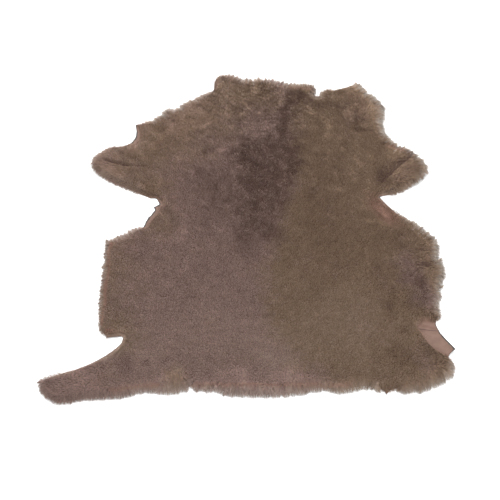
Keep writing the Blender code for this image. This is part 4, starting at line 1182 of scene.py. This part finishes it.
# What lightens or darkens the locks: painted light and shade along the streaks, painted shade in the gaps
# between them, and a lock's own tone unlike the next's: how much everywhere, and how much more in long wool,
# at a ruffled rim and in dark wool.
Weight = namedtuple("Weight", "name plain longer rim dark")
STREAKED = Weight("fine and broad streaks", 0.26, 0.20, 0.30, 0.0)
CRISP = Weight("crisp streaks", 0.0, 0.30, 0.0, 0.0)
SPECKLED = Weight("one lock unlike the next", 0.03, 0.10, 0.0, 0.25)
GAPPED = Weight("gaps between the streaks", 0.30, 0.90, 0.90, 1.30)


def grown(tips, kind, shorter=1.0):
    """The locks of one kind, as arrays of their tips, roots, widths, shapes and colour numbers."""
    count = len(tips)
    depth, nearest = edge_near(tips)
    wool, ruffled = edge_wool[nearest], edge_ruffled[nearest]
    cover = wool_cover(tips, depth, wool)
    fluff = fluff_at(depth, wool)
    away, out, own = clumped(tips, kind)
    splay = splay_at(tips, depth, nearest)
    reach = splay + lean_at(tips)
    longer = longer_at(tips)
    lying = np.clip(np.linalg.norm(reach, axis=1) / LYING_REACH, 0.0, 1.0)
    way = lie_at(tips, splay)
    fine = drawn_out(tips, way, *FINE_STREAKS)
    streaks = 0.62 * fine + 0.34 * drawn_out(tips, way, *BROAD_STREAKS)
    streaks *= np.maximum(0.55 + 0.45 * lying, 0.9 * longer)
    reach *= chance.uniform(0.75, 1.25, count)[:, None]
    if kind is HAIR:
        reach += HAIR_REACH * unit(reach) + HAIR_STRAY * chance.normal(0.0, 1.0, (count, 2))
    roots = tips - reach
    drawn = tips + kind.pull * away * (0.4 + 0.6 * np.minimum(cover, 1.0))[:, None]
    at_tip = depth - rim_inset(nearest) - 1.3 * wool * (tuft_cleft[nearest] - 0.0020)
    pile = pile_at(drawn, np.maximum(at_tip, 0.0)) * shorter
    high = lift(drawn) + LEATHER + cover * pile
    uneven = chance.normal(0.0, kind.uneven, count)
    high += cover * (0.0006 + 0.0006 * own[:, 2] - kind.dome * out**2 + uneven)
    high += STREAK_RISE * cover * streaks
    low = np.maximum(ground_top(roots), lift(roots) + LEATHER) - ROOT_SUNK
    if kind is HAIR:
        low, high = high - HAIR_FALL, high + HAIR_RISE
    parting = np.abs(tuft_place[nearest]) ** 6 * fluff * wool
    shade = shade_at(tips, np.maximum(fluff, lying))
    dark = np.clip(shade, 0.0, 1.0)
    streaked, crisp, speckled, gapped = (
        row.plain + row.longer * longer + row.rim * fluff * ruffled + row.dark * dark
        for row in (STREAKED, CRISP, SPECKLED, GAPPED)
    )
    # Painted shade at the rims of the clumps, in the rim's partings, where the locks lie down and in long
    # wool; the clump's own chance is its tone.
    shade += 0.08 * own[:, 2] + 0.05 * out**2 + 0.10 * parting + 0.24 * lying * (1.0 - fluff) + 0.06 * longer
    shade -= streaked * streaks
    shade -= crisp * drawn_out(tips, way, *CRISP_STREAKS)
    shade += speckled * chance.normal(0.0, 1.0, count)
    shade += gapped * np.clip(-0.48 - fine, 0.0, 0.6)
    # Painted light through the thin tips at the rim.
    pale_depth = graded(PALE_DEPTH, wool) * (0.4 + 0.6 * ruffled)
    pale = np.clip(1.0 - at_tip / pale_depth, 0.0, 1.0) * wool**1.5 * ruffled
    lowest = 0.0012 if kind in (STRAND, UNDER) else low + 0.0015
    return {
        "tip": np.column_stack((drawn, np.maximum(high, lowest))),
        "root": np.column_stack((roots, np.maximum(low, 0.0004))),
        "way": unit(reach),
        "radius": kind.radius * chance.uniform(0.85, 1.2, count) * np.clip(cover + 0.30, 0.0, 1.0),
        "shape": kind.shapes + chance.integers(0, 4, count),
        "shade": np.maximum(shade - (0.12 if kind is HAIR else 0.0), -0.45),
        "warmth": warmth_at(tips) + 0.15 * own[:, 2],
        "thin": thin_at(tips, cover),
        "pale": np.minimum(pale, 1.15) * chance.uniform(0.5, 1.0, count),
        "chance": chance.random(count),
    }


def rim_share(points):
    """For each point: its depth, the nearest outline point, its wool and whether strands grow there."""
    depth, nearest = edge_near(points)
    wool = edge_wool[nearest]
    return depth, nearest, wool_cover(points, depth, wool), depth < graded(RIM_BAND, wool)


def tufts():
    """The shorn tufts, and the longer ones among them."""
    tips = scattered(TUFT_GAP)
    _, _, cover, at_rim = rim_share(tips)
    tips = tips[~at_rim & (cover > 0.05) & (chance.random(len(tips)) < 0.25 + cover)]
    longer = chance.random(len(tips)) * 0.5 + 0.2 < longer_at(tips)
    return [grown(tips[~longer], TUFT), grown(tips[longer], LONG)]


def strands():
    """The strands at the rim: a few of them end well behind the others."""
    tips = scattered(STRAND_GAP)
    depth, nearest, cover, at_rim = rim_share(tips)
    wool = edge_wool[nearest]
    tail = (0.0014 + 0.0018 * np.clip(wool * 5.0 - 4.0, 0.0, 1.0)) * edge_ruffled[nearest]
    behind = rim_inset(nearest) + wool * np.minimum(tail * chance.exponential(1.0, len(tips)), 0.008)
    keep = (depth > behind + 0.0002) & at_rim & (cover > 0.04) & (chance.random(len(tips)) < 0.25 + cover)
    return grown(tips[keep], STRAND)


def under_strands():
    """The strands that fill the rim from below."""
    number = np.repeat(stations_along(UNDER_GAP), 2)
    number = number[edge_wool[number] > 0.25]
    behind = rim_inset(number) + chance.uniform(0.0, 0.0030, len(number))
    tips = edge_points[number] - edge_outward[number] * behind[:, None]
    return grown(tips, UNDER, chance.uniform(0.15, 0.75, len(number)))


def loose_hairs():
    """The hairs that lie over the long wool, and those that stand out of the rim."""
    tips = scattered(HAIR_GAP)
    depth, _, cover, _ = rim_share(tips)
    keep = (depth > 0.012) & (cover > 0.7) & (chance.random(len(tips)) < longer_at(tips) + 0.12)
    whiskers = scattered(WHISKER_GAP)
    depth, nearest = edge_near(whiskers)
    out = (depth > rim_inset(nearest) - 0.0022) & (depth < 0.014) & (edge_wool[nearest] > 0.45)
    return grown(np.concatenate((tips[keep], whiskers[out])), HAIR)


grown_rows = [*tufts(), strands(), under_strands(), loose_hairs()]
locks = {key: np.concatenate([rows[key] for rows in grown_rows]) for key in grown_rows[0]}

wool_on_locks = wool_material("wool", True)


def lock_prototype(name, shoulder, bend, aside):
    """One lock a unit long: a three-sided spindle, widest at its shoulder and bent there."""
    bm = bmesh.new()
    bmesh.ops.create_cone(bm, cap_ends=True, segments=3, radius1=1.0, radius2=0.0, depth=1.0)
    foot = min(bm.faces, key=lambda face: face.calc_center_median().z)
    root = bmesh.ops.poke(bm, faces=[foot])["verts"][0]
    tip = max(bm.verts, key=lambda v: v.co.z)
    widest = [v for v in bm.verts if v not in (root, tip)]
    for vert in widest:
        vert.co = (vert.co.x + bend, vert.co.y + aside, shoulder)
    root.co, tip.co = (0.0, 0.0, 0.0), (0.0, 0.0, 1.0)
    layer = bm.loops.layers.uv.new("lock")
    for face in bm.faces:
        first, second = [v for v in face.verts if v in widest]
        for corner in face.loops:
            across = {first: 0.0, second: 1.0}.get(corner.vert, 0.5)
            corner[layer].uv = (across, corner.vert.co.z)
    bmesh.ops.recalc_face_normals(bm, faces=bm.faces)
    mesh = bpy.data.meshes.new(name)
    bm.to_mesh(mesh)
    bm.free()
    mesh.shade_smooth()
    mesh.materials.append(wool_on_locks)
    return bpy.data.objects.new(name, mesh)


# The shapes of a lock: how high its shoulder is, as a share of its length, and how far it bends there, to its
# upper side and aside, in radii. The first four are the tufts', and the last four the strands'.
LockShape = namedtuple("LockShape", "shoulder bend aside")
LOCK_SHAPES = (
    LockShape(0.60, 0.25, 0.15), LockShape(0.54, 0.45, -0.20), LockShape(0.66, -0.10, 0.25),
    LockShape(0.58, 0.10, -0.30), LockShape(0.55, 1.60, 0.80), LockShape(0.50, 2.60, -0.90),
    LockShape(0.60, 3.40, 1.40), LockShape(0.55, 2.00, -1.60),
)
lock_shapes = bpy.data.collections.new("lock shapes")
scene.collection.children.link(lock_shapes)
for number, row in enumerate(LOCK_SHAPES):
    lock_shapes.objects.link(lock_prototype(f"lock shape {number}", *row))


def growing():
    """Nodes that put a lock's shape on each point, turned and sized by the point's own numbers."""
    tree = bpy.data.node_groups.new("Grow locks", "GeometryNodeTree")
    for way in ("INPUT", "OUTPUT"):
        tree.interface.new_socket(name="Geometry", in_out=way, socket_type="NodeSocketGeometry")

    def kept(name, kind):
        made = node(tree, "GeometryNodeInputNamedAttribute", {"Name": name}, data_type=kind)
        return made.outputs["Attribute"]

    shapes = node(
        tree, "GeometryNodeCollectionInfo",
        {"Collection": lock_shapes, "Separate Children": True, "Reset Children": True},
    )
    made = node(tree, "GeometryNodeInstanceOnPoints", {"Pick Instance": True})
    turned = node(tree, "FunctionNodeEulerToRotation")
    real = node(tree, "GeometryNodeRealizeInstances")
    place = node(tree, "ShaderNodeVectorMath", operation="MULTIPLY_ADD")
    place.inputs[1].default_value = (LOCK_CELL, LOCK_CELL, 0.0)
    baked = node(tree, "GeometryNodeStoreNamedAttribute", data_type="FLOAT2", domain="CORNER")
    baked.inputs["Name"].default_value = "OFBake"
    wire(
        tree,
        (node(tree, "NodeGroupInput").outputs[0], made.inputs["Points"]),
        (shapes.outputs[0], made.inputs["Instance"]),
        (kept("shape", "INT"), made.inputs["Instance Index"]),
        (kept("turn", "FLOAT_VECTOR"), turned.inputs[0]),
        (turned.outputs[0], made.inputs["Rotation"]),
        (kept("size", "FLOAT_VECTOR"), made.inputs["Scale"]),
        (made.outputs[0], real.inputs["Geometry"]),
        (real.outputs[0], baked.inputs["Geometry"]),
        (kept("lock", "FLOAT_VECTOR"), place.inputs[0]),
        (kept("cell", "FLOAT_VECTOR"), place.inputs[2]),
        (place.outputs[0], baked.inputs["Value"]),
        (baked.outputs[0], node(tree, "NodeGroupOutput").inputs[0]),
    )
    return tree


FLEECE_BANDS = ("neck", "shoulders", "back", "loins", "rump")
CELLS = 180             # the locks of a band lie on its map in this many rows and columns
LOCK_CELL = 0.78 / CELLS  # the size of a lock there
CELL_MARGIN = 0.11      # kept free beside it, as a share of its row
grow_locks = growing()


def turns_to(direction, way):
    """The turns that set a lock's length along its direction, and its bend up and against its lean."""
    high = np.column_stack((-way, np.full(len(way), 1.4)))
    bend = unit(high - (high * direction).sum(1)[:, None] * direction)
    side = np.cross(direction, bend)
    return np.column_stack((
        np.arctan2(side[:, 2], direction[:, 2]),
        -np.arcsin(np.clip(bend[:, 2], -1.0, 1.0)),
        np.arctan2(bend[:, 1], bend[:, 0]),
    ))


def grown_band(name, rows):
    """One band of the fleece: its locks grown on their roots and joined into one mesh."""
    count = len(rows["chance"])
    mesh = bpy.data.meshes.new(name)
    mesh.vertices.add(count)
    mesh.vertices.foreach_set("co", (rows["root"] - (*MIDDLE, 0.0)).ravel())
    run = rows["tip"] - rows["root"]
    length = np.linalg.norm(run, axis=1)
    row, column = np.divmod(np.arange(count), CELLS)
    vectors = {
        "turn": turns_to(run / length[:, None], rows["way"]),
        "size": np.column_stack((rows["radius"], rows["radius"], length)),
        "cell": np.column_stack((column + CELL_MARGIN, row + CELL_MARGIN, 0.0 * row)) / CELLS,
    }
    for key, values in vectors.items():
        mesh.attributes.new(key, "FLOAT_VECTOR", "POINT").data.foreach_set("vector", values.ravel())
    mesh.attributes.new("shape", "INT", "POINT").data.foreach_set("value", rows["shape"].astype(np.int32))
    for key in ("shade", "warmth", "thin", "pale", "chance"):
        give(mesh, key, rows[key])
    roots = bpy.data.objects.new(name + " roots", mesh)
    scene.collection.objects.link(roots)
    roots.modifiers.new("Grow locks", "NODES").node_group = grow_locks
    seen = bpy.context.evaluated_depsgraph_get()
    joined = bpy.data.meshes.new_from_object(
        roots.evaluated_get(seen), preserve_all_data_layers=True, depsgraph=seen
    )
    bpy.data.objects.remove(roots)
    for key in (*vectors, "shape"):
        joined.attributes.remove(joined.attributes[key])
    joined.name = name
    return joined


order = np.argsort(-locks["root"][:, 1])
for part, chosen in zip(FLEECE_BANDS, np.array_split(order, len(FLEECE_BANDS))):
    rows = {key: values[chosen] for key, values in locks.items()}
    piece = shown("wool_" + part, grown_band("wool_" + part, rows))
for shape in list(lock_shapes.objects):
    bpy.data.objects.remove(shape)
bpy.data.collections.remove(lock_shapes)


# The studio: a plain white floor under broad soft light, seen as in the photograph, from in front and 60
# degrees up.

FLOOR = 6.0             # the floor's length and width
FLOOR_DROP = 0.0002     # how far it lies under the pelt
floor_mesh = bmesh.new()
bmesh.ops.create_grid(floor_mesh, x_segments=1, y_segments=1, size=FLOOR / 2.0)
bmesh.ops.translate(floor_mesh, verts=floor_mesh.verts, vec=(0.0, 0.0, -FLOOR_DROP))
floor_surface = bpy.data.meshes.new("floor")
floor_mesh.to_mesh(floor_surface)
floor_mesh.free()
floor = bpy.data.objects.new("floor", floor_surface)
scene.collection.objects.link(floor)
white, _, shader, _ = new_material("white floor", 0.9)
shader.inputs["Base Color"].default_value = (0.93, 0.93, 0.93, 1.0)
shader.inputs["Specular IOR Level"].default_value = 0.0
floor_surface.materials.append(white)


def soft_light(name, place, target, size, power):
    """A square lamp that points at its target."""
    lamp = bpy.data.lights.new(name, "AREA")
    lamp.size, lamp.energy = size, power
    light = bpy.data.objects.new(name, lamp)
    light.location = place
    light.rotation_euler = (Vector(target) - Vector(place)).to_track_quat("-Z", "Y").to_euler()
    scene.collection.objects.link(light)


soft_light("overhead softbox", (-0.4, 0.9, 2.6), (0.0, 0.0, 0.0), 2.4, 105.0)
soft_light("front softbox", (0.9, -2.2, 1.9), (0.0, 0.0, 0.0), 2.0, 33.0)
world = bpy.data.worlds.new("studio")
world.use_nodes = True
sky = world.node_tree.nodes["Background"].inputs
sky["Color"].default_value = (1.0, 1.0, 1.0, 1.0)
sky["Strength"].default_value = 0.95
scene.world = world

SIGHT = math.radians(60.0)  # how steeply the camera looks down
TARGET = Vector((0.0017, -0.0854, 0.0))
DISTANCE = 2.2
SENSOR = 36.0           # its width, in millimetres
FOCAL_WIDTHS = 849.2 / 500.0  # the focal length, in widths of the sensor
lens = bpy.data.cameras.new("camera")
lens.sensor_width = SENSOR
lens.lens = SENSOR * FOCAL_WIDTHS
camera = bpy.data.objects.new("camera", lens)
camera.location = TARGET + DISTANCE * Vector((0.0, -math.cos(SIGHT), math.sin(SIGHT)))
camera.rotation_euler = (math.pi / 2.0 - SIGHT, 0.0, 0.0)
scene.collection.objects.link(camera)
scene.camera = camera
scene.view_settings.view_transform = "Standard"
